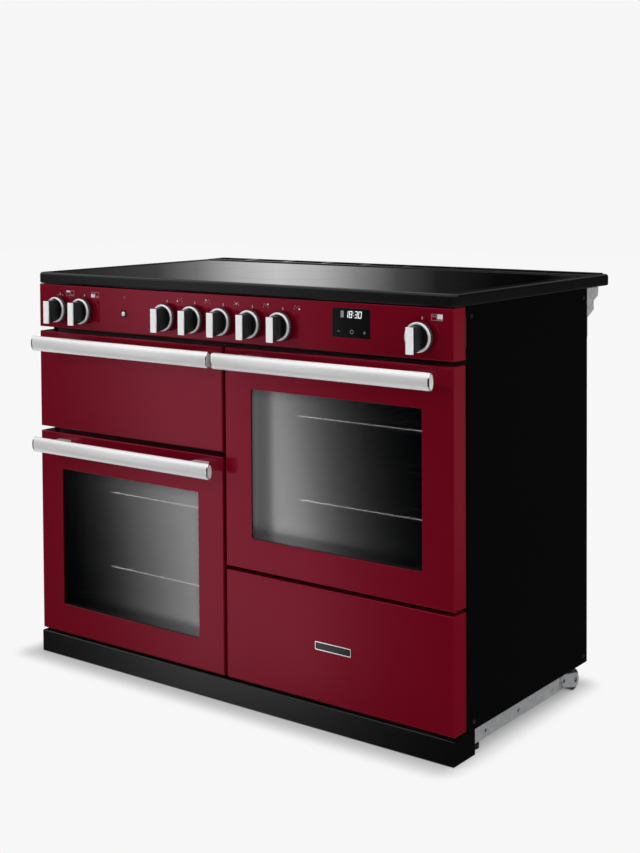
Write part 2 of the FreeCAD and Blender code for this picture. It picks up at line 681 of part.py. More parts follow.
def fan_covers():
    """Perforated plate in front of each fan, on four posts from the rear wall."""
    covers = []
    for (side, (z0, z1)), (x, z) in zip(OVENS, fan_centres()):
        x0, x1 = cavity(side)
        x0, x1 = x0 + FAN_COVER_MARGIN, x1 - FAN_COVER_MARGIN
        low, high = z0 + FAN_COVER_MARGIN, z1 - FAN_COVER_MARGIN
        plate = box(x0, x1, FAN_COVER_DEPTH, FAN_COVER_DEPTH + FAN_COVER_SHEET, low, high)
        holes = []
        for ring in range(1, FAN_HOLE_RINGS + 1):
            radius = ring * FAN_HOLE_STEP
            count = FAN_FIRST_RING_HOLES * ring
            for index in range(count):
                angle = 2 * math.pi * index / count
                holes.append(rod_y(x + radius * math.cos(angle), z + radius * math.sin(angle),
                                   FAN_COVER_DEPTH - CUT, FAN_COVER_DEPTH + CUT, FAN_HOLE_RADIUS))
        plate = plate.cut(Part.makeCompound(holes))
        posts = [rod_y(px, pz, FAN_COVER_DEPTH + FAN_COVER_SHEET, CAVITY_BACK, FAN_POST_RADIUS)
                 for px in (x0 + FAN_POST_INSET, x1 - FAN_POST_INSET)
                 for pz in (low + FAN_POST_INSET, high - FAN_POST_INSET)]
        covers += [plate] + posts
    return covers


def fan(x, z):
    """Fan wheel with its shaft into the motor."""
    disc_front = FAN_FRONT + FAN_LENGTH
    parts = [rod_y(x, z, FAN_FRONT, disc_front, FAN_HUB_RADIUS),
             rod_y(x, z, disc_front - FAN_DISC, disc_front, FAN_RADIUS),
             rod_y(x, z, FAN_FRONT, CAVITY_BACK + LINER + MOTOR_SHAFT_DEPTH - ROLLER_CLEARANCE,
                   FAN_SHAFT_RADIUS)]
    for index in range(FAN_BLADES):
        blade = box(x + FAN_HUB_RADIUS * 2, x + FAN_RADIUS, FAN_FRONT, disc_front,
                    z - FAN_BLADE / 2, z + FAN_BLADE / 2)
        blade.rotate(Vector(x, 0, z), Vector(0, 1, 0), 360 * index / FAN_BLADES)
        parts.append(blade)
    return [fuse(parts)]


def fan_motors():
    """Motor behind each oven's rear wall. Its foot reaches the back panel."""
    motors = []
    start = CAVITY_BACK + LINER
    for x, z in fan_centres():
        body = rod_y(x, z, start, BACK_FRONT, MOTOR_RADIUS)
        bore = rod_y(x, z, start - CUT, start + MOTOR_SHAFT_DEPTH, FAN_SHAFT_RADIUS + PIN_CLEARANCE)
        motors.append(body.cut(bore))
    return motors


def heating_elements():
    """A ring around each fan on a stub, and a folded rod under the grill's roof on two."""
    elements = []
    for x, z in fan_centres():
        ring = Part.makeTorus(RING_RADIUS, RING_TUBE, Vector(x, y_at(RING_DEPTH), z), Vector(0, 1, 0))
        stub = rod_y(x, z + RING_RADIUS, RING_DEPTH, CAVITY_BACK, RING_TUBE)
        elements.append(fuse([ring, stub]))
    x0, x1 = cavity(-1)
    x0, x1 = x0 + ELEMENT_INSET, x1 - ELEMENT_INSET
    z = GRILL_CAVITY_TOP - ELEMENT_DROP
    runs = []
    depths = [RUNNER_FRONT + ELEMENT_PITCH * (index + 1 / 2) for index in range(ELEMENT_PASSES)]
    for depth in depths:
        runs.append(rod_x(x0, x1, depth, z, ELEMENT_RADIUS))
    for index in range(ELEMENT_PASSES - 1):
        x = x1 if index % 2 == 0 else x0
        runs.append(rod_y(x, z, depths[index], depths[index + 1], ELEMENT_RADIUS))
    for depth in (depths[0], depths[-1]):
        runs.append(rod_z((x0 + x1) / 2, depth, z, GRILL_CAVITY_TOP, ELEMENT_RADIUS))
    elements.append(fuse(runs))
    return elements


def oven_lamps():
    """Lamp cover under each oven's roof."""
    lamps = []
    for side, (_, roof) in OVENS:
        x = sum(cavity(side)) / 2 + side * LAMP_OFFSET
        lamps.append(rod_z(x, LAMP_DEPTH, roof - LAMP_HEIGHT, roof, LAMP_RADIUS))
    return lamps


def runner_channel(web_x, inward, bar_z):
    """Fixed channel round a runner bar. web_x is the face that is fixed to the wall."""
    far = web_x + inward * RUNNER_WEB
    lip = far + inward * RUNNER_LIP
    low, high = bar_z - RUNNER_CLEARANCE, bar_z + RUNNER_HEIGHT + RUNNER_CLEARANCE
    web = box(min(web_x, far), max(web_x, far), RUNNER_FRONT, RUNNER_BACK, low - RUNNER_WEB,
              high + RUNNER_WEB)
    lips = [box(min(far, lip), max(far, lip), RUNNER_FRONT, RUNNER_BACK, *levels)
            for levels in ((low - RUNNER_WEB, low), (high, high + RUNNER_WEB))]
    return fuse([web] + lips)


def runner_bar(web_x, inward, bar_z, d0):
    """Moving bar that runs in a channel whose web starts at web_x."""
    near = web_x + inward * (RUNNER_WEB + RUNNER_CLEARANCE)
    far = near + inward * RUNNER_BAR
    return box(min(near, far), max(near, far), d0, RUNNER_BAR_BACK, bar_z, bar_z + RUNNER_HEIGHT)


# Faces that the fixed channels of the drawer are fixed to
DRAWER_CHANNEL_LEFT = DRAWER_LEFT - RUNNER_BAR - RUNNER_CLEARANCE - RUNNER_WEB
DRAWER_CHANNEL_RIGHT = DRAWER_RIGHT + RUNNER_BAR + RUNNER_CLEARANCE + RUNNER_WEB


def slide_rails():
    """Fixed channels of the grill and of the drawer, and the plates that carry the drawer's."""
    x0, x1 = cavity(-1)
    rails = [runner_channel(x0, 1, GRILL_RAIL_Z), runner_channel(x1, -1, GRILL_RAIL_Z),
             runner_channel(DRAWER_CHANNEL_LEFT, 1, DRAWER_RAIL_Z),
             runner_channel(DRAWER_CHANNEL_RIGHT, -1, DRAWER_RAIL_Z)]
    divider = box(DRAWER_CHANNEL_LEFT - DIVIDER, DRAWER_CHANNEL_LEFT, FRAME_BACK, BACK_FRONT, TRAY_TOP,
                  DRAWER_TOP)
    spacer = box(DRAWER_CHANNEL_RIGHT, BODY_INNER, RUNNER_FRONT, RUNNER_BACK, DRAWER_RAIL_Z,
                 DRAWER_RAIL_Z + RUNNER_HEIGHT)
    return rails + [divider, spacer]


def grill_parts():
    x_mid = -COLUMN_X
    x0, x1 = x_mid - PANEL_WIDTH / 2, x_mid + PANEL_WIDTH / 2
    front = folded_panel(x0, x1, GRILL_BOTTOM, ROW_TOP)
    wall = cavity(-1)
    z = GRILL_RAIL_Z
    plate = box(x0 + SHEET, x1 - SHEET, INNER_FRAME_DEPTH, INNER_FRAME_BACK, GRILL_BOTTOM + SHEET,
                ROW_TOP - SHEET)
    bar_inner = RUNNER_WEB + RUNNER_CLEARANCE + RUNNER_BAR
    ledge_top = z + CARRIAGE_LEDGE_HEIGHT
    crossbar_front = PAN_BACK + PAN_GAP
    crossbar_back = crossbar_front + CARRIAGE_CROSSBAR
    ledges = []
    for wall_x, inward in ((wall[0], 1), (wall[1], -1)):
        start = wall_x + inward * bar_inner
        end = start + inward * CARRIAGE_LEDGE
        ledge = box(min(start, end), max(start, end), INNER_FRAME_BACK, crossbar_back, z, ledge_top)
        ledges.append(fuse([runner_bar(wall_x, inward, z, INNER_FRAME_BACK), ledge]))
    carriage_inner = (wall[0] + bar_inner, wall[1] - bar_inner)
    crossbar_x = grown(carriage_inner, -CARRIAGE_LEDGE)
    crossbar = box(*crossbar_x, crossbar_front, crossbar_back, z, ledge_top)

    rim_top = ledge_top + PAN_SHEET
    rim = box(*grown(carriage_inner, -PAN_GAP), PAN_FRONT, PAN_BACK, ledge_top, rim_top)
    pan_x, pan_depths = grown(crossbar_x, -PAN_GAP), (PAN_FRONT, PAN_BACK)
    pan = box(*pan_x, *pan_depths, rim_top - PAN_DEPTH, rim_top)
    base_z = rim_top + PAN_SHEET - PAN_DEPTH
    hollow = box(*grown(pan_x, -PAN_SHEET), *grown(pan_depths, -PAN_SHEET), base_z, rim_top + CUT)
    tray = fuse([pan, rim]).cut(hollow)

    rack_z = base_z + TRIVET_HEIGHT
    rx0, rx1 = grown(pan_x, -PAN_SHEET - TRIVET_MARGIN)
    rd0, rd1 = grown(pan_depths, -PAN_SHEET - TRIVET_MARGIN)
    wires = [rod_x(rx0, rx1, depth, rack_z, TRIVET_ROD_RADIUS) for depth in (rd0, rd1)]
    wires += [rod_y(x, rack_z, rd0, rd1, TRIVET_ROD_RADIUS) for x in (rx0, rx1)]
    wires += [rod_z(x, depth, base_z, rack_z, TRIVET_ROD_RADIUS) for x in (rx0, rx1) for depth in (rd0, rd1)]
    count = int((rx1 - rx0) / TRIVET_PITCH)
    first = (rx0 + rx1 - (count - 1) * TRIVET_PITCH) / 2
    for index in range(count):
        wires.append(rod_y(first + index * TRIVET_PITCH, rack_z, rd0, rd1, TRIVET_WIRE_RADIUS))

    return {
        "grill_front": [front],
        "grill_handle": bar_handle(*handle_span(-1), ROW_TOP - HANDLE_BELOW_TOP),
        "grill_carriage": [plate] + ledges + [crossbar],
        "grill_pan": [tray],
        "grill_rack": [fuse(wires)],
    }


def drawer_parts():
    x_mid = COLUMN_X
    x0, x1 = x_mid - PANEL_WIDTH / 2, x_mid + PANEL_WIDTH / 2
    front = folded_panel(x0, x1, ROW_BOTTOM, DRAWER_TOP)
    plate = box(x0 + SHEET, x1 - SHEET, INNER_FRAME_DEPTH, INNER_FRAME_BACK, ROW_BOTTOM + SHEET,
                DRAWER_TOP - SHEET)
    low = ROW_BOTTOM + DRAWER_BOX_RISE
    high = low + DRAWER_BOX_HEIGHT
    depth = (INNER_FRAME_BACK, DRAWER_BOX_BACK)
    sheets = [
        plate,
        box(DRAWER_LEFT, DRAWER_RIGHT, *depth, low, low + DRAWER_SHEET),
        box(DRAWER_LEFT, DRAWER_LEFT + DRAWER_SHEET, *depth, low, high),
        box(DRAWER_RIGHT - DRAWER_SHEET, DRAWER_RIGHT, *depth, low, high),
        box(DRAWER_LEFT, DRAWER_RIGHT, DRAWER_BOX_BACK - DRAWER_SHEET, DRAWER_BOX_BACK, low, high),
        runner_bar(DRAWER_CHANNEL_LEFT, 1, DRAWER_RAIL_Z, RUNNER_FRONT),
        runner_bar(DRAWER_CHANNEL_RIGHT, -1, DRAWER_RAIL_Z, RUNNER_FRONT),
    ]
    return {"drawer_front": [front], "drawer_box": [fuse(sheets)]}


def hob_frame():
    """Rounded rim with a recess for the glass, an opening under it and a slot under the vent."""
    half = HOB_WIDTH / 2
    rim = box(-half, half, -HOB_LIP, REAR, HOB_BOTTOM, HOB_TOP)
    for radius, depth in ((RIM_CORNER_RADIUS, -HOB_LIP), (RIM_REAR_RADIUS, REAR)):
        rim = round_edges(rim, radius,
                          lambda edge: runs_along(edge, Vector(0, 0, 1)) and at_depth(edge, depth))
    rim = round_edges(rim, RIM_TOP_RADIUS, lambda edge: at_height(edge, HOB_TOP))
    rim = round_edges(rim, RIM_BOTTOM_RADIUS, lambda edge: at_height(edge, HOB_BOTTOM))
    gx, gd0 = half - RIM_SIDE, RIM_FRONT - HOB_LIP
    seat = HOB_TOP - GLASS_BELOW_RIM - GLASS_THICKNESS
    recess = box(-gx, gx, gd0, GLASS_REAR, seat, HOB_TOP + CUT)
    opening = box(-gx + GLASS_LEDGE, gx - GLASS_LEDGE, gd0 + GLASS_LEDGE, GLASS_REAR - GLASS_LEDGE,
                  HOB_BOTTOM - CUT, HOB_TOP)
    vent = box(-VENT_WIDTH / 2 + VENT_LEDGE, VENT_WIDTH / 2 - VENT_LEDGE, VENT_FRONT + VENT_LEDGE,
               VENT_REAR - VENT_LEDGE, HOB_BOTTOM - CUT, HOB_TOP + CUT)
    vent_seat = box(-VENT_WIDTH / 2, VENT_WIDTH / 2, VENT_FRONT, VENT_REAR,
                    HOB_TOP - VENT_SEAT, HOB_TOP + CUT)
    return [cut_all(rim, [recess, opening, vent, vent_seat])]


def hob_glass():
    gx, gd0 = HOB_WIDTH / 2 - RIM_SIDE, RIM_FRONT - HOB_LIP
    top = HOB_TOP - GLASS_BELOW_RIM
    return [box(-gx, gx, gd0, GLASS_REAR, top - GLASS_THICKNESS, top)]


def hob_vent():
    """Raised strip along the rear of the hob: higher at the back, with a row of slots."""
    x0 = -VENT_WIDTH / 2
    low = HOB_TOP - VENT_SEAT
    profile = ((VENT_FRONT, low), (VENT_FRONT, HOB_TOP + VENT_FRONT_RISE / 2),
               (VENT_FRONT + VENT_FRONT_RISE, HOB_TOP + VENT_FRONT_RISE),
               (VENT_REAR - VENT_REAR_RISE, HOB_TOP + VENT_REAR_RISE),
               (VENT_REAR, HOB_TOP + VENT_REAR_RISE / 2), (VENT_REAR, low))
    points = [Vector(x0, y_at(depth), z) for depth, z in profile]
    strip = Part.Face(Part.makePolygon(points + [points[0]])).extrude(Vector(VENT_WIDTH, 0, 0))
    first = -(VENT_SLOTS - 1) * VENT_PITCH / 2
    slot_half = (VENT_PITCH - VENT_BAR) / 2
    slots = [box(first + index * VENT_PITCH - slot_half, first + index * VENT_PITCH + slot_half,
                 VENT_FRONT + VENT_EDGE, VENT_REAR - VENT_EDGE, low - CUT, HOB_TOP + VENT_REAR_RISE + CUT)
             for index in range(VENT_SLOTS)]
    return [cut_all(strip, slots)]


HOB_TRAY_BOTTOM = HOB_BOTTOM - HOB_TRAY_DEPTH


def induction_coils():
    """Each coil unit: post on the tray, carrier disc and flat winding just under the glass."""
    coils = []
    top = HOB_TOP - GLASS_BELOW_RIM - GLASS_THICKNESS - COIL_GAP
    for (x_share, depth_share), radius in zip(ZONE_PLACE_SHARES, ZONE_RADII):
        x, depth = x_share * HOB_WIDTH, depth_share * REAR
        winding = rod_z(x, depth, top - COIL_WINDING, top, radius).cut(
            rod_z(x, depth, top - COIL_WINDING - CUT, top + CUT, COIL_BORE))
        carrier = rod_z(x, depth, top - COIL_WINDING - COIL_CARRIER, top - COIL_WINDING, radius)
        post = rod_z(x, depth, HOB_TRAY_BOTTOM + TRAY_SHEET, top - COIL_WINDING - COIL_CARRIER,
                     COIL_POST_RADIUS)
        coils.append(fuse([winding, carrier, post]))
    return coils


def hob_tray():
    """Shallow tray between the front frame, the side panels and the back panel."""
    z0, z1 = HOB_TRAY_BOTTOM, HOB_BOTTOM
    x = BODY_INNER
    return [
        box(-x, x, FRAME_BACK, BACK_FRONT, z0, z0 + TRAY_SHEET),
        box(-x, x, FRAME_BACK, FRAME_BACK + TRAY_SHEET, z0 + TRAY_SHEET, z1),
        box(-x, x, BACK_FRONT - TRAY_SHEET, BACK_FRONT, z0 + TRAY_SHEET, z1),
        box(-x, -x + TRAY_SHEET, FRAME_BACK + TRAY_SHEET, BACK_FRONT - TRAY_SHEET, z0 + TRAY_SHEET, z1),
        box(x - TRAY_SHEET, x, FRAME_BACK + TRAY_SHEET, BACK_FRONT - TRAY_SHEET, z0 + TRAY_SHEET, z1),
    ]


KNOBS = {
    "knob_grill": -KNOB_END,
    "knob_oven_left": KNOB_PITCH - KNOB_END,
    "knob_zone_1": -2 * KNOB_PITCH,
    "knob_zone_2": -KNOB_PITCH,
    "knob_zone_3": 0.0,
    "knob_zone_4": KNOB_PITCH,
    "knob_zone_5": 2 * KNOB_PITCH,
    "knob_oven_right": KNOB_END,
}


def control_panel():
    half = FRONT_WIDTH / 2
    panel = folded_panel(-half, half, CONTROL_BOTTOM, CONTROL_TOP)
    holes = [rod_y(x, KNOB_Z, -CUT, SHEET + CUT, PANEL_SHAFT_HOLE) for x in KNOBS.values()]
    holes.append(rod_y(BUTTON_X, KNOB_Z, -CUT, SHEET + CUT, BEZEL_NECK + PIN_CLEARANCE))
    holes.append(box(CLOCK_LEFT, CLOCK_LEFT + CLOCK_WIDTH, -CUT, SHEET + CUT, CLOCK_BOTTOM, CLOCK_TOP))
    return [cut_all(panel, holes)]


def knob(x):
    """Control knob: flared skirt, rounded ring round a dish, upright grip, and the shaft into the switch."""
    rear = -KNOB_RUNNING_GAP
    inner = KNOB_RING_RADIUS - KNOB_RING_WALL
    outline = ((0, rear), (KNOB_REAR_RADIUS, rear), (KNOB_SKIRT_RADIUS, -KNOB_SKIRT_FRONT),
               (KNOB_RING_RADIUS, -KNOB_RING_REAR), (KNOB_RING_RADIUS, -KNOB_RING_FRONT),
               (inner, -KNOB_RING_FRONT), (inner, -KNOB_DISH_FRONT), (0, -KNOB_DISH_FRONT))
    points = [Vector(x + radius, y_at(depth), KNOB_Z) for radius, depth in outline]
    profile = Part.Face(Part.makePolygon(points + [points[0]]))
    cup = profile.revolve(Vector(x, 0, KNOB_Z), Vector(0, 1, 0), 360)
    cup = round_edges(cup, KNOB_RING_WALL * KNOB_RING_ROUND_SHARE,
                      lambda edge: at_depth(edge, -KNOB_RING_FRONT))
    grip = box(x - KNOB_GRIP_WIDTH / 2, x + KNOB_GRIP_WIDTH / 2, -KNOB_GRIP_FRONT, -KNOB_RING_FRONT,
               KNOB_Z - KNOB_GRIP_DOWN, KNOB_Z + KNOB_GRIP_UP)
    grip = round_edges(grip, KNOB_GRIP_RADIUS, lambda edge: at_depth(edge, -KNOB_GRIP_FRONT))
    neck = box(x - KNOB_GRIP_WIDTH / 2, x + KNOB_GRIP_WIDTH / 2, -KNOB_RING_FRONT, -KNOB_DISH_FRONT,
               KNOB_Z - KNOB_GRIP_UP, KNOB_Z + KNOB_GRIP_UP)
    shaft = rod_y(x, KNOB_Z, rear, KNOB_SHAFT_END, KNOB_SHAFT_RADIUS)
    return [fuse([cup, neck, grip, shaft])]


def control_units():
    """Rotary switches, light switch with its bezel, and the clock module, all behind the panel."""
    half = SWITCH_SIZE / 2
    units = []
    for x in KNOBS.values():
        body = box(x - half, x + half, SHEET, SWITCH_END, KNOB_Z - half, KNOB_Z + half)
        units.append(body.cut(rod_y(x, KNOB_Z, 0, SWITCH_BORE_DEPTH, KNOB_SHAFT_RADIUS + PIN_CLEARANCE)))
    flange = rod_y(BUTTON_X, KNOB_Z, -BEZEL_FRONT, 0, BEZEL_RADIUS)
    neck = rod_y(BUTTON_X, KNOB_Z, 0, SHEET, BEZEL_NECK)
    housing = box(BUTTON_X - half, BUTTON_X + half, SHEET, SWITCH_END, KNOB_Z - half, KNOB_Z + half)
    bore = rod_y(BUTTON_X, KNOB_Z, -CUT, BUTTON_END + BUTTON_TRAVEL + BUTTON_CLEARANCE,
                 BUTTON_RADIUS + BUTTON_CLEARANCE)
    units.append(fuse([flange, neck, housing]).cut(bore))
    units.append(box(CLOCK_LEFT - CLOCK_MODULE_MARGIN, CLOCK_LEFT + CLOCK_WIDTH + CLOCK_MODULE_MARGIN,
                     CLOCK_GLASS - CLOCK_PROUD, CLOCK_MODULE_END, CLOCK_BOTTOM - CLOCK_MODULE_MARGIN,
                     CLOCK_TOP + CLOCK_MODULE_MARGIN))
    return units


def clock_glass():
    return [box(CLOCK_LEFT + CLOCK_FIT, CLOCK_LEFT + CLOCK_WIDTH - CLOCK_FIT, -CLOCK_PROUD,
                CLOCK_GLASS - CLOCK_PROUD, CLOCK_BOTTOM + CLOCK_FIT, CLOCK_TOP - CLOCK_FIT)]


def light_button():
    """Push button with a domed face."""
    stem = rod_y(BUTTON_X, KNOB_Z, BUTTON_DOME - BUTTON_FRONT, BUTTON_END, BUTTON_RADIUS)
    dome_radius = (BUTTON_RADIUS ** 2 + BUTTON_DOME ** 2) / (2 * BUTTON_DOME)
    ball = Part.makeSphere(dome_radius, Vector(BUTTON_X, y_at(dome_radius - BUTTON_FRONT), KNOB_Z))
    cap = ball.common(rod_y(BUTTON_X, KNOB_Z, -BUTTON_FRONT - CUT, BUTTON_DOME - BUTTON_FRONT, BUTTON_RADIUS))
    return [fuse([cap, stem])]


def side_panels():
    half = BODY_WIDTH / 2
    return both_sides([box(BODY_INNER, half, BODY_FRONT, BODY_DEPTH, BODY_BOTTOM, HOB_BOTTOM)])


def back_panel():
    return [box(-BODY_INNER, BODY_INNER, BACK_FRONT, BODY_DEPTH, BODY_BOTTOM, HOB_BOTTOM)]


def base_tray():
    """Floor of the cabinet, and the skirting under its front edge between the base rails."""
    tray = box(-BODY_INNER, BODY_INNER, FRAME_FRONT, BACK_FRONT, BODY_BOTTOM, TRAY_TOP)
    holes = [rod_z(x, FOOT_DEPTH, BODY_BOTTOM - CUT, TRAY_TOP + CUT, FOOT_TRAY_HOLE)
             for x in (-FOOT_X, FOOT_X)]
    lip_x = RAIL_X - RAIL_FLANGE - PANEL_EDGE_RADIUS
    lip = box(-lip_x, lip_x, FRAME_FRONT, FRAME_FRONT + TRAY_SHEET, BODY_BOTTOM - TRAY_LIP, BODY_BOTTOM)
    return [cut_all(tray, holes), lip]


def base_rails():
    """Channel on each side under the base tray, with a nut for the foot and a hole for the arm's pivot."""
    inner = RAIL_X - RAIL_SHEET
    web = box(inner, RAIL_X, RAIL_FRONT, RAIL_BACK, RAIL_BOTTOM, BODY_BOTTOM)
    top = box(RAIL_X - RAIL_FLANGE, inner, RAIL_FRONT, RAIL_BACK, BODY_BOTTOM - RAIL_SHEET, BODY_BOTTOM)
    toe = box(RAIL_X - RAIL_FLANGE / 2, inner, RAIL_FOOT_FRONT, ARM_PIVOT_DEPTH - RAIL_FOOT_BEFORE_PIVOT,
              RAIL_BOTTOM, RAIL_BOTTOM + RAIL_SHEET)
    nut_top = BODY_BOTTOM - RAIL_SHEET
    nut = box(FOOT_X - FOOT_NUT / 2, FOOT_X + FOOT_NUT / 2, FOOT_DEPTH - FOOT_NUT / 2,
              FOOT_DEPTH + FOOT_NUT / 2, nut_top - FOOT_NUT_HEIGHT, nut_top)
    holes = [rod_x(inner - CUT, RAIL_X + CUT, ARM_PIVOT_DEPTH - before, RAIL_HOLE_HEIGHT, RAIL_HOLE_RADIUS)
             for before in RAIL_HOLES_BEFORE_PIVOT]
    holes.append(rod_x(inner - CUT, RAIL_X + CUT, ARM_PIVOT_DEPTH, ARM_PIVOT_HEIGHT,
                       AXLE_RADIUS + PIN_CLEARANCE))
    holes.append(rod_z(FOOT_X, FOOT_DEPTH, RAIL_BOTTOM, BODY_BOTTOM + CUT, FOOT_STEM_RADIUS + PIN_CLEARANCE))
    rail = cut_all(fuse([web, top, toe, nut]), holes)
    return both_sides([rail])


def foot(side):
    stem = rod_z(side * FOOT_X, FOOT_DEPTH, FOOT_PAD, FOOT_STEM_TOP, FOOT_STEM_RADIUS)
    pad = rod_z(side * FOOT_X, FOOT_DEPTH, 0, FOOT_PAD, FOOT_PAD_RADIUS)
    return [fuse([stem, pad])]


ARM_INNER_X = RAIL_X + ARM_CLEARANCE
ROLLER_OUTER_X = ARM_INNER_X - ROLLER_CLEARANCE
ROLLER_INNER_X = ROLLER_OUTER_X - ROLLER_WIDTH


def roller_arm(side):
    """Arm outside the rail: pivot pin through the rail's web, and the roller's axle at its end."""
    x1 = ARM_INNER_X + ARM_THICKNESS
    pivot = rod_x(ARM_INNER_X, x1, ARM_PIVOT_DEPTH, ARM_PIVOT_HEIGHT, ARM_PIVOT_RADIUS)
    end = rod_x(ARM_INNER_X, x1, ROLLER_DEPTH, ROLLER_RADIUS, ARM_END_RADIUS)
    dy, dz = ROLLER_DEPTH - ARM_PIVOT_DEPTH, ROLLER_RADIUS - ARM_PIVOT_HEIGHT
    span = math.hypot(dy, dz)
    lean = math.atan2(dz, dy)
    tangent = math.acos((ARM_PIVOT_RADIUS - ARM_END_RADIUS) / span)
    corners = []
    for depth, z, radius, turn in ((ARM_PIVOT_DEPTH, ARM_PIVOT_HEIGHT, ARM_PIVOT_RADIUS, tangent),
                                   (ROLLER_DEPTH, ROLLER_RADIUS, ARM_END_RADIUS, tangent),
                                   (ROLLER_DEPTH, ROLLER_RADIUS, ARM_END_RADIUS, -tangent),
                                   (ARM_PIVOT_DEPTH, ARM_PIVOT_HEIGHT, ARM_PIVOT_RADIUS, -tangent)):
        corners.append(Vector(ARM_INNER_X, y_at(depth) + radius * math.cos(lean + turn),
                              z + radius * math.sin(lean + turn)))
    plate = Part.Face(Part.makePolygon(corners + [corners[0]])).extrude(Vector(ARM_THICKNESS, 0, 0))
    web_inner = RAIL_X - RAIL_SHEET - ARM_CLEARANCE
    pin = rod_x(web_inner - AXLE_HEAD, ARM_INNER_X, ARM_PIVOT_DEPTH, ARM_PIVOT_HEIGHT, AXLE_RADIUS)
    pin_head = rod_x(web_inner - AXLE_HEAD, web_inner, ARM_PIVOT_DEPTH, ARM_PIVOT_HEIGHT, AXLE_HEAD_RADIUS)
    head_x = ROLLER_INNER_X - ROLLER_CLEARANCE
    axle = rod_x(head_x - AXLE_HEAD, ARM_INNER_X, ROLLER_DEPTH, ROLLER_RADIUS, AXLE_RADIUS)
    axle_head = rod_x(head_x - AXLE_HEAD, head_x, ROLLER_DEPTH, ROLLER_RADIUS, AXLE_HEAD_RADIUS)
    arm = fuse([pivot, end, plate, pin, pin_head, axle, axle_head])
    return [arm if side > 0 else mirrored(arm)]


def roller(side):
    wheel = rod_x(ROLLER_INNER_X, ROLLER_OUTER_X, ROLLER_DEPTH, ROLLER_RADIUS, ROLLER_RADIUS)
    wheel = wheel.cut(rod_x(ROLLER_INNER_X - CUT, ROLLER_OUTER_X + CUT, ROLLER_DEPTH, ROLLER_RADIUS,
                            AXLE_RADIUS + PIN_CLEARANCE))
    return [wheel if side > 0 else mirrored(wheel)]


def plinth():
    """Kick plate with a flange along its top and a return at each end, clipped to the base rails."""
    half = FRONT_WIDTH / 2
    front = -PLINTH_PROUD
    plate = box(-half, half, front, front + SHEET, PLINTH_BOTTOM, PLINTH_TOP)
    plate = round_edges(plate, SHEET / 2,
                        lambda edge: at_depth(edge, front) and runs_along(edge, Vector(1, 0, 0)))
    end = box(half - SHEET, half, front + SHEET, PLINTH_RETURN, PLINTH_BOTTOM, PLINTH_TOP)
    clip = box(RAIL_X - RAIL_FLANGE, RAIL_X, front + SHEET, RAIL_FRONT, RAIL_BOTTOM, PLINTH_TOP)
    ends = both_sides([end, clip])
    flange_x = RAIL_X - RAIL_SHEET - PLINTH_CLEARANCE
    flange = box(-flange_x, flange_x, front + SHEET, PLINTH_FLANGE, PLINTH_TOP - SHEET, PLINTH_TOP)
    return [plate, cut_all(flange, ends)] + ends


def rear_duct():
    """Galvanised duct over the width of the back, stepped outwards and open at the top."""
    corners = [(BODY_DEPTH + step, HOB_BOTTOM - drop) for step, drop in zip(DUCT_STEPS, DUCT_DROPS)]
    low, high = corners[0][1], corners[-1][1]
    profile = [(BODY_DEPTH, low)] + corners + [(BODY_DEPTH, high)]
    points = [Vector(-BODY_INNER, y_at(depth), z) for depth, z in profile]
    duct = Part.Face(Part.makePolygon(points + [points[0]])).extrude(Vector(2 * BODY_INNER, 0, 0))
    inside = [(BODY_DEPTH + DUCT_SHEET, low + DUCT_SHEET)]
    inside += [(depth - DUCT_SHEET, z + DUCT_SHEET) for depth, z in corners[:-1]]
    inside += [(corners[-1][0] - DUCT_SHEET, high + CUT), (BODY_DEPTH + DUCT_SHEET, high + CUT)]
    x = DUCT_SHEET - BODY_INNER
    points = [Vector(x, y_at(depth), z) for depth, z in inside]
    hollow = Part.Face(Part.makePolygon(points + [points[0]])).extrude(Vector(-2 * x, 0, 0))
    return [duct.cut(hollow)]


def terminal_box():
    """Mains terminal box on the back, with the gland for the supply cable in its underside."""
    x0, x1 = TERMINAL_X - TERMINAL_WIDTH / 2, TERMINAL_X + TERMINAL_WIDTH / 2
    z0, z1 = TERMINAL_BOTTOM, TERMINAL_BOTTOM + TERMINAL_HEIGHT
    shell = box(x0, x1, BODY_DEPTH, BODY_DEPTH + TERMINAL_DEPTH, z0, z1)
    hollow = box(x0 + TERMINAL_SHEET, x1 - TERMINAL_SHEET, BODY_DEPTH + TERMINAL_SHEET,
                 BODY_DEPTH + TERMINAL_DEPTH - TERMINAL_SHEET, z0 + TERMINAL_SHEET, z1 - TERMINAL_SHEET)
    depth = BODY_DEPTH + TERMINAL_DEPTH / 2
    gland = rod_z(TERMINAL_X, depth, z0 + TERMINAL_SHEET - GLAND_LENGTH, z0 + TERMINAL_SHEET, GLAND_RADIUS)
    bore = rod_z(TERMINAL_X, depth, z0 - GLAND_LENGTH - CUT, z0 + TERMINAL_SHEET, GLAND_BORE)
    return [fuse([shell.cut(hollow), gland]).cut(bore)]


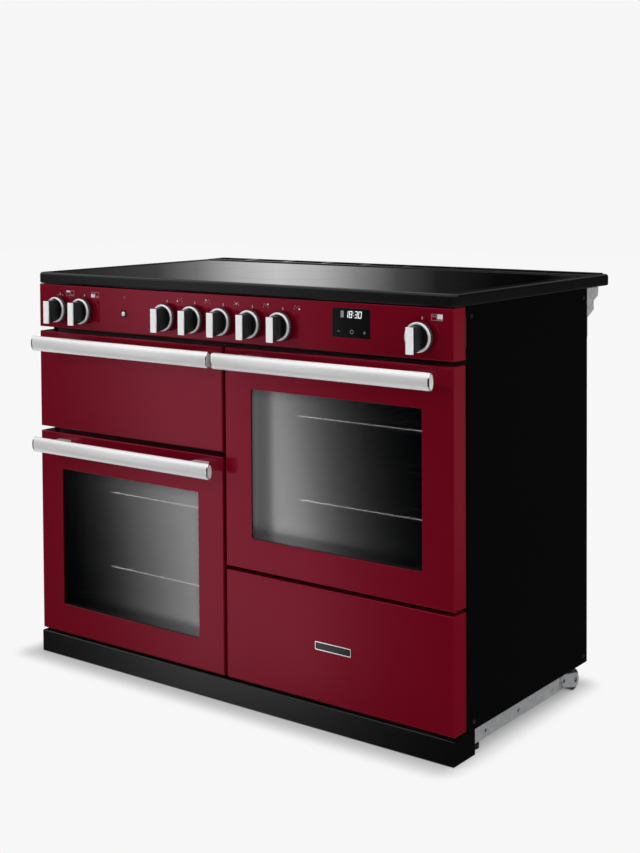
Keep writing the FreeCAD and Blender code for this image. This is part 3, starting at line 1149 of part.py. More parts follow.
def all_parts():
    parts = {
        "hob_frame": hob_frame(),
        "hob_glass": hob_glass(),
        "hob_vent": hob_vent(),
        "induction_coils": induction_coils(),
        "hob_tray": hob_tray(),
        "control_panel": control_panel(),
        "control_units": control_units(),
        "clock_glass": clock_glass(),
        "light_button": light_button(),
        "front_frame": front_frame(),
        "side_panels": side_panels(),
        "back_panel": back_panel(),
        "rear_duct": rear_duct(),
        "terminal_box": terminal_box(),
        "base_tray": base_tray(),
        "base_rails": base_rails(),
        "plinth": plinth(),
        "oven_liner_left": oven_liner(-1, LEFT_OVEN),
        "oven_liner_right": oven_liner(1, RIGHT_OVEN),
        "grill_liner": grill_liner(),
        "oven_shelves": oven_shelves(),
        "fan_covers": fan_covers(),
        "fan_motors": fan_motors(),
        "heating_elements": heating_elements(),
        "oven_lamps": oven_lamps(),
        "door_seals": door_seals(),
        "slide_rails": slide_rails(),
    }
    for name, (x, z) in zip(("fan_left", "fan_right"), fan_centres()):
        parts[name] = fan(x, z)
    for side, name in ((-1, "left"), (1, "right")):
        parts["foot_" + name] = foot(side)
        parts["roller_arm_" + name] = roller_arm(side)
        parts["roller_" + name] = roller(side)
    for name, x in KNOBS.items():
        parts[name] = knob(x)
    for side, name, z0, z1 in ((-1, "left", ROW_BOTTOM, LOW_DOOR_TOP),
                               (1, "right", HIGH_DOOR_BOTTOM, ROW_TOP)):
        for piece, solids in oven_door(side, z0, z1).items():
            parts["door_" + name + "_" + piece] = solids
    parts.update(grill_parts())
    parts.update(drawer_parts())
    return parts


def write(name, solids):
    """One STEP file for a node, as one solid or a group of solids."""
    shapes = [solid for shape in solids for solid in shape.Solids]
    shape = shapes[0] if len(shapes) == 1 else Part.makeCompound(shapes)
    if not shape.isValid():
        raise ValueError(name + " is not a valid shape")
    shape.exportStep("parts/" + name + ".step")


os.makedirs("parts", exist_ok=True)
for node, solids in all_parts().items():
    write(node, solids)
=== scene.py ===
import json
import math
from functools import partial

import bmesh
import bpy
from bpy.props import FloatProperty, FloatVectorProperty, IntProperty, PointerProperty, StringProperty
from mathutils import Matrix, Vector


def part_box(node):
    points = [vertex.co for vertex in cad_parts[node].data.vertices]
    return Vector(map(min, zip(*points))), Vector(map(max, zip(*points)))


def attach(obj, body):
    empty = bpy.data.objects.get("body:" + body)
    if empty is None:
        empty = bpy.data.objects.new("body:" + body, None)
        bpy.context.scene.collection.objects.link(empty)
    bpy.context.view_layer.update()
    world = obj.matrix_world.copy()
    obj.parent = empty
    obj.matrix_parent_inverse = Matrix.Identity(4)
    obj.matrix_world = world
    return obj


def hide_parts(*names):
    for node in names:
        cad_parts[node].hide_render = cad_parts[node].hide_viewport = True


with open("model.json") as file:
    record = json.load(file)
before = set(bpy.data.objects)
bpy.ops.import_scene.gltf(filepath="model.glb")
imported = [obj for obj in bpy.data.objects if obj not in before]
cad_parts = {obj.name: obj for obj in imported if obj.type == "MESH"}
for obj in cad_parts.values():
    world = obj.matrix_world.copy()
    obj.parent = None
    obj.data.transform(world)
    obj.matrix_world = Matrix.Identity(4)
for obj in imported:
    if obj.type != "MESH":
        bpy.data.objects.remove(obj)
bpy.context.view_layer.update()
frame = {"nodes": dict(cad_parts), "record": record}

bl_info = {
    "name": "Range cooker",
    "version": (1, 0, 0),
    "blender": (4, 5, 0),
    "location": "3D View > Sidebar > Cooker",
    "description": "Finishes, trims and studio of a range cooker built round its frame",
    "category": "Object",
}

MM = 0.001
FACE_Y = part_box("door_left_panel")[0].y
KNOB_NODES = ("knob_grill", "knob_oven_left", "knob_zone_1", "knob_zone_2", "knob_zone_3", "knob_zone_4",
              "knob_zone_5", "knob_oven_right")
SIDES = ("left", "right")
SHARP = 35
CAD_SHARP = 30
WINDOW_OVERLAP = 12 * MM


def colour(name, words, value):
    return FloatVectorProperty(name=name, description=words, subtype="COLOR", size=3, min=0, max=1, default=value)


def length(name, words, value):
    return FloatProperty(name=name, description=words, subtype="DISTANCE", unit="LENGTH", default=value)


class CookerFinish(bpy.types.PropertyGroup):
    """Colours of the cooker's finishes."""
    panels: colour("Panels", "Enamel of the doors, drawer and control panel", (0.128, 0.0016, 0.0085))
    sides: colour("Sides", "Paint of the side panels and plinth", (0.0014, 0.0014, 0.0015))
    hob: colour("Hob", "Hob rim and vent", (0.0030, 0.0030, 0.0033))
    glass: colour("Glass", "Hob glass and clock glass", (0.003, 0.003, 0.0035))
    steel: colour("Steel", "Bar handles and knob grips", (0.86, 0.86, 0.86))
    bright: colour("Bright trim", "Chromed rings and wires", (0.90, 0.90, 0.91))
    zinc: colour("Zinc", "Galvanised sheet", (0.47, 0.48, 0.49))
    lining: colour("Lining", "Vitreous enamel inside the ovens", (0.022, 0.022, 0.024))
    moulding: colour("Moulding", "Black plastic", (0.010, 0.010, 0.011))
    ink: colour("Ink", "Printed symbols", (0.62, 0.56, 0.57))


class CookerTrim(bpy.types.PropertyGroup):
    """Sizes of the trims that are made here."""
    edge: length("Edge", "Softened edge of sheet parts", 0.0006)
    print_height: length("Print height", "How far ink stands off the panel", 0.00006)
    skirt_ticks: IntProperty(name="Skirt ticks", description="Marks round a knob's skirt", default=11, min=1,
                             max=60)
    grip_ribs: IntProperty(name="Grip ribs", description="Ribs on each flank of a knob's grip", default=5, min=1)
    ring_wall: length("Ring wall", "Thickness of a knob's chromed ring", 0.0047)
    clock_text: StringProperty(name="Clock", description="Time on the display", default="18:30")


def trim():
    return bpy.context.scene.cooker_trim


# Finishes: base colour or the name of one, with a share of it where it is darker or lighter; roughness; the rest

FINISHES = {
    "red_enamel": ("panels", 0.13, dict(scale=700.0, tint=0.05, drift=0.03, bump=0.03, specular=0.70,
                                        specular_tint=(1.0, 0.12, 0.26))),
    "side_paint": ("sides", 0.5, dict(scale=1500.0, tint=0.2, drift=0.06, bump=0.12, specular=0.04)),
    "plinth_paint": ("sides", 0.16, dict(scale=1300.0, tint=0.2, drift=0.05, bump=0.03, specular=0.64)),
    "hob_paint": ("hob", 0.22, dict(scale=1200.0, tint=0.15, drift=0.05, bump=0.04, specular=0.3)),
    "hob_glass_black": ("glass", 0.04, dict(scale=40.0, drift=0.01, bump=0.0)),
    "clock_black": ("glass", 0.08, dict(scale=60.0, drift=0.02, bump=0.004)),
    "satin_steel": ("steel", 0.34, dict(metallic=0.5, scale=900.0, stretch=(0.02, 1, 1), tint=0.06, drift=0.10)),
    "ring_chrome": ("bright", 0.24, dict(metallic=0.5, scale=400.0, tint=0.04, drift=0.04, bump=0.01)),
    "brushed_face": ("bright", 0.34, dict(metallic=0.25, scale=1100.0, stretch=(1, 1, 0.03), tint=0.05,
                                          drift=0.06, bump=0.03)),
    "bright_chrome": ("bright", 0.09, dict(metallic=1.0, scale=250.0, tint=0.04, drift=0.05, bump=0.01)),
    "wire_chrome": ("bright", 0.22, dict(metallic=0.8, scale=500.0, tint=0.08, drift=0.1, bump=0.03)),
    # the shelf wires' emission is a painted glint, shaped by the painted glint group
    "shelf_chrome": ("bright", 0.22, dict(metallic=0.8, scale=500.0, tint=0.08, drift=0.1, bump=0.0, lit=7.0)),
    "zinc": ("zinc", 0.42, dict(metallic=0.5, scale=140.0, tint=0.22, bump=0.03, spangle=True)),
    "lining": ("lining", 0.28, dict(scale=1800.0, tint=1.1, drift=0.12, bump=0.08, specular=0.6)),
    "moulding": ("moulding", 0.38, dict(scale=1400.0, tint=0.25, bump=0.08)),
    # ribs: the black moulding three times lighter, as a painted highlight on the grip's ribs
    "rib_moulding": (("moulding", 3.0), 0.3, dict(scale=1400.0, tint=0.2)),
    "ink": ("ink", 0.5, dict(scale=2500.0, tint=0.12, drift=0.05, bump=0.03)),
    "faint_ink": (("ink", 0.45), 0.5, dict(scale=2500.0, tint=0.2, bump=0.03)),
    "zone_ink": (("ink", 0.02), 0.10, dict(scale=2500.0, tint=0.2, bump=0.01)),
    "woven_seal": ((0.02, 0.02, 0.019), 0.8, dict(scale=900.0, tint=0.9, drift=0.1, bump=0.4, relief=0.6 * MM)),
    "dull_iron": ((0.06, 0.058, 0.055), 0.55, dict(metallic=0.6, scale=500.0, tint=0.3, bump=0.2)),
    "dark_screw": ((0.06, 0.06, 0.062), 0.3, dict(metallic=0.9, scale=900.0, tint=0.2)),
    "coil_copper": ((0.42, 0.17, 0.07), 0.35, dict(metallic=0.9, scale=800.0, stretch=(1, 1, 0.1), tint=0.3,
                                                   bump=0.2)),
    "lamp_glass": ((0.75, 0.72, 0.62), 0.12, dict(scale=120.0, drift=0.05, bump=0.1, alpha=0.55)),
    "nylon": ((0.020, 0.020, 0.021), 0.45, dict(scale=900.0, tint=0.15, bump=0.1)),
    "clock_lit": ((0.82, 0.88, 0.92), 0.4, dict(scale=1500.0, lit=0.75)),
    "clock_faint": ((0.2, 0.22, 0.24), 0.4, dict(scale=1500.0, lit=0.25)),
}
GROUPS = {}
MATERIALS = {}


# Objects

def link(name, mesh):
    obj = bpy.data.objects.new(name, mesh)
    bpy.context.scene.collection.objects.link(obj)
    return obj


def smooth(mesh, sharp):
    """Smooth faces between edges sharper than an angle in degrees."""
    mesh.shade_smooth()
    mesh.set_sharp_from_angle(angle=math.radians(sharp))


def to_object(name, bm, material=None, sharp=SHARP):
    """Object from a bmesh, which is freed."""
    mesh = bpy.data.meshes.new(name)
    bm.to_mesh(mesh)
    bm.free()
    smooth(mesh, sharp)
    if material:
        mesh.materials.append(finish(material))
    return link(name, mesh)


def outward(name, bm, material=None):
    """Object from a bmesh of closed shapes, with its faces turned outward."""
    bmesh.ops.recalc_face_normals(bm, faces=bm.faces)
    return to_object(name, bm, material)


def bake(obj):
    """The object's evaluated mesh in place of its modifiers."""
    bpy.context.view_layer.update()
    evaluated = obj.evaluated_get(bpy.context.evaluated_depsgraph_get())
    mesh = bpy.data.meshes.new_from_object(evaluated)
    mesh.name = obj.name
    obj.modifiers.clear()
    obj.data = mesh


def soften(obj, width, segments=2, sharp=SHARP):
    """Rounds the object's sharp edges and evens out its normals."""
    bevel = obj.modifiers.new("Soft edges", "BEVEL")
    bevel.width = width
    bevel.segments = segments
    bevel.limit_method = "ANGLE"
    bevel.angle_limit = math.radians(sharp)
    bevel.use_clamp_overlap = True
    obj.modifiers.new("Even normals", "WEIGHTED_NORMAL").keep_sharp = True
    bake(obj)


def node_body(node):
    for body, nodes in frame["record"]["behaviour"]["bodies"].items():
        if node in nodes:
            return body
    raise ValueError(node + " is on no body")


def slot_of(node):
    for entry in frame["record"]["subparts"]:
        if entry["node"] == node:
            return entry["material_slot"]
    raise ValueError(node + " has no slot")


def finish_piece(obj, body, *nodes, slot=None):
    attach(obj, body)
    if nodes:
        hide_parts(*nodes)
    slot or slot_of(nodes[0])
    return obj


def add_piece(name, bm, material, body, *nodes, slot=None, soft=0, segments=2):
    """New piece from a bmesh, softened by a width if one is given."""
    obj = outward(name, bm, material)
    if soft:
        soften(obj, soft, segments)
    return finish_piece(obj, body, *nodes, slot=slot)


def dressed(node, material, width=0, segments=2):
    """A copy of a node's solids that stands for the node, softened by a width if one is given."""
    bm = bmesh.new()
    bm.from_mesh(frame["nodes"][node].data)
    bmesh.ops.remove_doubles(bm, verts=bm.verts, dist=0.001 * MM)
    if width:
        bmesh.ops.dissolve_limit(bm, angle_limit=math.radians(0.2), verts=bm.verts, edges=bm.edges)
    obj = to_object(node + ("_skin" if width else "_smooth"), bm, material, CAD_SHARP)
    if width:
        soften(obj, width, segments, CAD_SHARP)
    return finish_piece(obj, node_body(node), node)


def paint(node, material):
    """New finish on a node that keeps its own mesh."""
    mesh = frame["nodes"][node].data
    mesh.materials.clear()
    mesh.materials.append(material)


# Shapes

def shape(add, *values):
    """New bmesh with one shape in it."""
    bm = bmesh.new()
    add(bm, *values)
    return bm


def add_shell(bm, loops, ends="capped"):
    """Skin through loops of points: capped at its ends, open, or closed from the last loop to the first."""
    rings = [[bm.verts.new(point) for point in loop] for loop in loops]
    followers = rings[1:] + (rings[:1] if ends == "closed" else [])
    for near, far in zip(rings, followers):
        for index in range(len(near)):
            after = (index + 1) % len(near)
            bm.faces.new((near[index], far[index], far[after], near[after]))
    if ends == "capped":
        bm.faces.new(rings[0])
        bm.faces.new(rings[-1][::-1])


def add_prism(bm, outline, y0, y1):
    """Prism of an (x, z) outline between two Y values."""
    add_shell(bm, [[(x, y, z) for x, z in outline] for y in (y0, y1)])


def add_plate(bm, outline, x0, x1):
    """Prism of a (y, z) outline between two X values."""
    add_shell(bm, [[(x, y, z) for y, z in outline] for x in (x0, x1)])


def add_box(bm, low, high):
    add_prism(bm, rectangle(low[0], high[0], low[2], high[2]), low[1], high[1])


def add_loop(bm, outline, inner, y0, y1):
    """Frame between two (x, z) outlines with the same number of points."""
    add_shell(bm, [[(x, y, z) for x, z in points] for points, y in
                   ((outline, y0), (outline, y1), (inner, y1), (inner, y0))], "closed")


def add_lathe(bm, centre, profile, steps=64):
    """Profile of (radius, y) points turned about the Y axis through centre."""
    add_shell(bm, [[(x, centre.y + y, z) for x, z in circle(centre.x, centre.z, radius, steps)]
                   for radius, y in profile], "open")
    bmesh.ops.remove_doubles(bm, verts=bm.verts, dist=0.0001 * MM)


def circle(x, z, radius, steps=24):
    angles = [2 * math.pi * step / steps for step in range(steps)]
    return [(x + radius * math.cos(angle), z + radius * math.sin(angle)) for angle in angles]


def rectangle(x0, x1, z0, z1):
    return [(x0, z0), (x1, z0), (x1, z1), (x0, z1)]


def rounded(x, z, half_width, half_height, radius, steps=5):
    """Rectangle round a centre, with round corners."""
    points = []
    dx, dz = half_width - radius, half_height - radius
    for cx, cz, start in ((x + dx, z - dz, -90), (x + dx, z + dz, 0), (x - dx, z + dz, 90), (x - dx, z - dz, 180)):
        for step in range(steps + 1):
            angle = math.radians(start + 90 * step / steps)
            points.append((cx + radius * math.cos(angle), cz + radius * math.sin(angle)))
    return points


def middle(node):
    """X and Z of the centre of a node's box."""
    low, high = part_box(node)
    return (low.x + high.x) / 2, (low.z + high.z) / 2


# Node trees

def put(tree, kind, inputs=None, **settings):
    """New node of a tree, with its settings, and its inputs given as values or as sockets to link."""
    node = tree.nodes.new(kind)
    for name, value in settings.items():
        setattr(node, name, value)
    for key, value in (inputs or {}).items():
        if isinstance(value, bpy.types.NodeSocket):
            tree.links.new(value, node.inputs[key])
        else:
            node.inputs[key].default_value = value
    return node


def maths(tree, operation, first, second):
    return put(tree, "ShaderNodeMath", {0: first, 1: second}, operation=operation).outputs["Value"]


def vector_maths(tree, operation, *values):
    node = put(tree, "ShaderNodeVectorMath", dict(enumerate(values)), operation=operation)
    return node.outputs["Value" if operation == "LENGTH" else "Vector"]


def times(tree, vector, gain):
    """A vector or colour times a number."""
    return put(tree, "ShaderNodeVectorMath", {0: vector, "Scale": gain}, operation="SCALE").outputs["Vector"]


def clamped(tree, value):
    return maths(tree, "MINIMUM", maths(tree, "MAXIMUM", value, 0.0), 1.0)


def change(tree, value, start, end, first=0.0, last=1.0, kind="SMOOTHSTEP"):
    """Change from first to last while value runs from start to end."""
    return put(tree, "ShaderNodeMapRange", {"Value": value, "From Min": start, "From Max": end, "To Min": first,
                                            "To Max": last}, interpolation_type=kind).outputs["Result"]


def coordinates(tree, kind="Object"):
    return put(tree, "ShaderNodeTexCoord").outputs[kind]


def parts_of(tree, vector):
    return put(tree, "ShaderNodeSeparateXYZ", {"Vector": vector}).outputs


def shared(maker):
    """The node tree of a maker, made once."""
    if maker.__name__ not in GROUPS:
        GROUPS[maker.__name__] = maker()
    return GROUPS[maker.__name__]


def give(tree, end, **results):
    """The tree, with its results linked to its output node."""
    for name, socket in results.items():
        tree.links.new(socket, end.inputs[name])
    return tree


def new_group(name, inputs, outputs):
    """Shader group from its inputs' first values and its outputs' names: tree, input sockets, output node."""
    tree = bpy.data.node_groups.new(name, "ShaderNodeTree")
    for label, value in inputs.items():
        kind = "Float" if isinstance(value, float) else {3: "Vector", 4: "Color"}[len(value)]
        socket = tree.interface.new_socket(name=label, in_out="INPUT", socket_type="NodeSocket" + kind)
        socket.default_value = value
    for label in outputs:
        kind = "NodeSocketColor" if label == "Colour" else "NodeSocketFloat"
        tree.interface.new_socket(name=label, in_out="OUTPUT", socket_type=kind)
    return tree, tree.nodes.new("NodeGroupInput").outputs, tree.nodes.new("NodeGroupOutput")


def grain_group():
    """Colour and roughness drift with a fine height, on stretched object coordinates."""
    tree, given, end = new_group("Grain", {
        "Colour": (0.5, 0.5, 0.5, 1), "Stretch": (1, 1, 1), "Scale": 200.0, "Tint": 0.1, "Roughness": 0.4,
        "Roughness Drift": 0.08}, ("Colour", "Roughness", "Height"))
    calc = partial(maths, tree)
    place = coordinates(tree)
    stretched = vector_maths(tree, "MULTIPLY", place, given["Stretch"])
    fine = put(tree, "ShaderNodeTexNoise", {"Vector": stretched, "Scale": given["Scale"], "Detail": 4.0,
                                            "Roughness": 0.6}).outputs["Fac"]
    broad = put(tree, "ShaderNodeTexNoise", {"Vector": place, "Scale": 4.0, "Detail": 2.0,
                                             "Roughness": 0.5}).outputs["Fac"]
    mixed = calc("ADD", calc("SUBTRACT", broad, 0.5), calc("SUBTRACT", fine, 0.5))
    gain = calc("ADD", calc("MULTIPLY", mixed, given["Tint"]), 1.0)
    rough = calc("ADD", calc("MULTIPLY", mixed, given["Roughness Drift"]), given["Roughness"])
    return give(tree, end, Colour=times(tree, given["Colour"], gain), Roughness=rough, Height=fine)


def spangle_group():
    """Crystal flakes of galvanised sheet."""
    tree, given, end = new_group("Spangle", {
        "Colour": (0.5, 0.5, 0.5, 1), "Scale": 90.0, "Contrast": 0.3, "Roughness": 0.4},
        ("Colour", "Roughness", "Height"))
    calc = partial(maths, tree)
    cells = put(tree, "ShaderNodeTexVoronoi", {"Vector": coordinates(tree), "Scale": given["Scale"]})
    level = put(tree, "ShaderNodeSeparateColor", {"Color": cells.outputs["Color"]}).outputs
    flake = calc("SUBTRACT", level["Red"], 0.5)
    gain = calc("ADD", calc("MULTIPLY", flake, given["Contrast"]), 1.0)
    rough = calc("ADD", calc("MULTIPLY", flake, 0.18), given["Roughness"])
    return give(tree, end, Colour=times(tree, given["Colour"], gain), Roughness=rough, Height=level["Green"])


def border_group():
    """Cover of a pane: even in the middle and thinner towards the edges of its window, as a painted shade band there.
    """
    tree, given, end = new_group("Border", {"Centre": (0, 0, 0), "Half Size": (1, 1, 1), "Width": 0.01,
                                            "Edge": 0.2, "Middle": 0.5}, ("Cover",))
    offset = vector_maths(tree, "SUBTRACT", coordinates(tree), given["Centre"])
    left = parts_of(tree, vector_maths(tree, "SUBTRACT", given["Half Size"],
                                       vector_maths(tree, "ABSOLUTE", offset)))
    nearest = maths(tree, "MINIMUM", left["X"], left["Z"])
    return give(tree, end, Cover=change(tree, nearest, 0.0, given["Width"], given["Edge"], given["Middle"]))


def painted_glint_group():
    """Painted glint: emission on the shelves' front wires for the light they catch from the right part of each window.
    """
    tree, given, end = new_group("Glint", {
        "Colour": (1, 1, 1, 1), "Front": 0.0, "Reach": 0.01, "Left Start": -0.4, "Right Start": 0.1, "Fall": 0.2,
        "Rest": 0.003}, ("Colour",))
    calc = partial(maths, tree)
    place = parts_of(tree, coordinates(tree))
    depth = calc("DIVIDE", calc("SUBTRACT", place["Y"], given["Front"]), given["Reach"])
    near = calc("MAXIMUM", calc("SUBTRACT", 1.0, depth), 0.0)
    facing = parts_of(tree, coordinates(tree, "Normal"))
    near = calc("MULTIPLY", near, change(tree, facing["Z"], 0.35, 0.75, kind="LINEAR"))
    rises = []
    for name in ("Left Start", "Right Start"):
        run = calc("DIVIDE", calc("SUBTRACT", place["X"], given[name]), given["Fall"])
        begun = clamped(tree, calc("MULTIPLY", run, 8.0))
        gone = calc("MULTIPLY", clamped(tree, run), 0.5)
        rises.append(calc("MULTIPLY", begun, calc("SUBTRACT", 1.0, gone)))
    right = calc("GREATER_THAN", place["X"], 0.0)
    level = calc("ADD", calc("MULTIPLY", rises[0], calc("SUBTRACT", 1.0, right)),
                 calc("MULTIPLY", rises[1], right))
    # the rest of the wires keep a faint painted glow
    level = calc("MAXIMUM", calc("MULTIPLY", level, near), given["Rest"])
    return give(tree, end, Colour=times(tree, given["Colour"], level))


def surface(name, base, roughness, metallic=0.0, scale=300.0, stretch=(1, 1, 1), tint=0.1, drift=0.08, bump=0.05,
            relief=0.2 * MM, specular=0.5, specular_tint=(1, 1, 1), ior=1.5, alpha=1.0, lit=0.0, spangle=False):
    """Material with grain or spangle in its colour, roughness and height, made once."""
    if name in MATERIALS:
        return MATERIALS[name]
    material = bpy.data.materials.new(name)
    material.use_nodes = True
    tree = material.node_tree
    values = {"Colour": (*base, 1), "Scale": scale, "Roughness": roughness}
    if spangle:
        values["Contrast"] = tint
    else:
        values.update({"Stretch": stretch, "Tint": tint, "Roughness Drift": drift})
    grain = put(tree, "ShaderNodeGroup", values, node_tree=shared(spangle_group if spangle else grain_group))
    height = put(tree, "ShaderNodeBump", {"Strength": bump, "Distance": relief, "Height": grain.outputs["Height"]})
    shader = tree.nodes["Principled BSDF"]
    for key, value in (("Metallic", metallic), ("Specular IOR Level", specular), ("IOR", ior), ("Alpha", alpha),
                       ("Specular Tint", (*specular_tint, 1)), ("Emission Color", (*base, 1)),
                       ("Emission Strength", lit)):
        shader.inputs[key].default_value = value
    for socket, key in ((grain.outputs["Colour"], "Base Color"), (grain.outputs["Roughness"], "Roughness"),
                        (height.outputs["Normal"], "Normal")):
        tree.links.new(socket, shader.inputs[key])
    MATERIALS[name] = material
    return material


def finish(name):
    """Material from the table of finishes."""
    base, roughness, values = FINISHES[name]
    if isinstance(base, str):
        base = (base, 1.0)
    if len(base) == 2:
        source, share = base
        base = [value * share for value in getattr(bpy.context.scene.cooker_finish, source)]
    return surface(name, base, roughness, **values)


def overlay(material, maker, target, values):
    """Places a shared group in a material and links its one result to an input of the shader."""
    tree = material.node_tree
    group = put(tree, "ShaderNodeGroup", values, node_tree=shared(maker))
    tree.links.new(group.outputs[0], tree.nodes["Principled BSDF"].inputs[target])
    return material


def pane(stem):
    """Dark door glass whose cover thins towards the window's edges, most at the bottom, as a painted shade band."""
    low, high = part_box(stem + "_glass")
    material = surface(stem + "_pane", (0.003, 0.0035, 0.004), 0.03, scale=30.0, tint=0.2, drift=0.01, bump=0.0,
                       ior=3.0)
    # centre and half size set the painted shade band mostly along the window's bottom edge
    half_size = (high - low) / 2 - Vector((WINDOW_OVERLAP - 20 * MM, 0, WINDOW_OVERLAP))
    return overlay(material, border_group, "Alpha", {
        "Centre": (low + high) / 2 + Vector((-4 * MM, 0, 10 * MM)), "Half Size": half_size, "Width": 36 * MM,
        "Edge": 0.18, "Middle": 0.55})


def paint_shelf_glint():
    """Painted glint: emission on the front wires of the oven shelves' chrome."""
    if "shelf_chrome" not in MATERIALS:
        overlay(finish("shelf_chrome"), painted_glint_group, "Emission Color", {
            "Front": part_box("oven_shelves")[0].y + 6 * MM, "Reach": 14 * MM,
            "Left Start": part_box("door_left_glass")[0].x + 90 * MM,
            "Right Start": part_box("door_right_glass")[0].x + 74 * MM, "Fall": 120 * MM})


# Geometry Nodes: rows and rings of copies

def copies_tree(name, inputs):
    """Geometry tree from its inputs' names and kinds: tree, input sockets, output node."""
    tree = bpy.data.node_groups.new(name, "GeometryNodeTree")
    for label, kind in (("Geometry", "Geometry"), *inputs, ("Material", "Material")):
        tree.interface.new_socket(name=label, in_out="INPUT", socket_type="NodeSocket" + kind)
    tree.interface.new_socket(name="Geometry", in_out="OUTPUT", socket_type="NodeSocketGeometry")
    return tree, tree.nodes.new("NodeGroupInput").outputs, tree.nodes.new("NodeGroupOutput")


def close_tree(tree, given, end, geometry):
    real = put(tree, "GeometryNodeRealizeInstances", {"Geometry": geometry}).outputs["Geometry"]
    covered = put(tree, "GeometryNodeSetMaterial", {"Geometry": real, "Material": given["Material"]})
    return give(tree, end, Geometry=covered.outputs["Geometry"])


def points_tree():
    """A copy of Piece on every vertex of the mesh."""
    tree, given, end = copies_tree("Copies on points", (("Piece", "Object"), ("Turn", "Rotation")))
    piece = put(tree, "GeometryNodeObjectInfo", {"Object": given["Piece"]}).outputs["Geometry"]
    copies = put(tree, "GeometryNodeInstanceOnPoints", {"Points": given["Geometry"], "Instance": piece,
                                                        "Rotation": given["Turn"]})
    return close_tree(tree, given, end, copies.outputs["Instances"])


def row_tree():
    """A row of copies of the mesh itself."""
    tree, given, end = copies_tree("Row of copies", (("Count", "Int"), ("Step", "Vector")))
    line = put(tree, "GeometryNodeMeshLine", {"Count": given["Count"], "Offset": given["Step"]}, mode="OFFSET")
    copies = put(tree, "GeometryNodeInstanceOnPoints", {"Points": line.outputs["Mesh"],
                                                        "Instance": given["Geometry"]})
    return close_tree(tree, given, end, copies.outputs["Instances"])


def ring_tree():
    """Copies of the mesh turned about the Y axis, from a first angle in equal steps."""
    tree, given, end = copies_tree("Ring of copies", (("Count", "Int"), ("First Angle", "Float"),
                                                      ("Angle Step", "Float"), ("Centre", "Vector")))
    line = put(tree, "GeometryNodeMeshLine", {"Count": given["Count"], "Offset": (0, 0, 0)}, mode="OFFSET")
    index = put(tree, "GeometryNodeInputIndex").outputs["Index"]
    angle = maths(tree, "ADD", maths(tree, "MULTIPLY", index, given["Angle Step"]), given["First Angle"])
    turn = put(tree, "ShaderNodeCombineXYZ", {"Y": angle}).outputs["Vector"]
    copies = put(tree, "GeometryNodeInstanceOnPoints", {"Points": line.outputs["Mesh"],
                                                        "Instance": given["Geometry"], "Rotation": turn})
    moved = put(tree, "GeometryNodeTransform", {"Geometry": copies.outputs["Instances"],
                                                "Translation": given["Centre"]})
    return close_tree(tree, given, end, moved.outputs["Geometry"])


def grow(obj, maker, **values):
    """Bakes a tree into the object, with the tree's inputs given by name."""
    tree = shared(maker)
    modifier = obj.modifiers.new(tree.name, "NODES")
    modifier.node_group = tree
    names = {item.name: item.identifier for item in tree.interface.items_tree
             if item.item_type == "SOCKET" and item.in_out == "INPUT"}
    for name, value in values.items():
        modifier[names[name.replace("_", " ").title()]] = value
    bake(obj)


# Pieces

class CookerPiece:
    """What every operator of this file shares."""
    bl_options = {"REGISTER", "UNDO"}


class COOKER_OT_panels(CookerPiece, bpy.types.Operator):
    """Red enamelled fronts: control panel, doors, grill and drawer"""
    bl_idname = "cooker.panels"
    bl_label = "Front panels"

    def execute(self, context):
        for node in ("control_panel", "door_left_panel", "door_right_panel", "grill_front", "drawer_front"):
            dressed(node, "red_enamel", trim().edge)
        self.badge()
        return {"FINISHED"}

    def badge(self):
        """Small bare plate on the drawer: a bright frame round a dark field."""
        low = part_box("drawer_front")[0]
        half_width, half_height, thickness, rim = 43 * MM, 8.25 * MM, 2.2 * MM, 1.8 * MM
        place = middle("drawer_front")[0] - 1 * MM, low.z + 110.5 * MM
        inner = rounded(*place, half_width - rim, half_height - rim, 1.2 * MM)
        bm = shape(add_loop, rounded(*place, half_width, half_height, 2.4 * MM), inner, low.y - thickness, low.y)
        add_piece("badge_frame", bm, "bright_chrome", "drawer", slot="chrome", soft=0.35 * MM)
        bm = shape(add_prism, inner, low.y - thickness * 0.55, low.y)
        add_piece("badge_field", bm, "clock_black", "drawer", slot="clock_glass")


class COOKER_OT_windows(CookerPiece, bpy.types.Operator):
    """Door glass, its dark printed border, the inner frame and the hinges"""
    bl_idname = "cooker.windows"
    bl_label = "Door windows"

    def execute(self, context):
        for side in SIDES:
            stem = "door_" + side
            paint(stem + "_glass", pane(stem))
            dressed(stem + "_inner", "moulding", trim().edge)
            dressed(stem + "_hinges", "zinc", trim().edge / 2)
            self.border(stem)
        return {"FINISHED"}

    def border(self, stem):
        """Printed border on the back of the outer pane, over the window's edge."""
        low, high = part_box(stem + "_glass")
        glass_rear, inset = low.y + 4.02 * MM, WINDOW_OVERLAP + 3 * MM
        bm = shape(add_loop, rectangle(low.x, high.x, low.z, high.z),
                   rectangle(low.x + inset, high.x - inset, low.z + inset, high.z - inset), glass_rear,
                   glass_rear + 0.2 * MM)
        add_piece(stem + "_border", bm, "moulding", stem, slot="black_enamel")


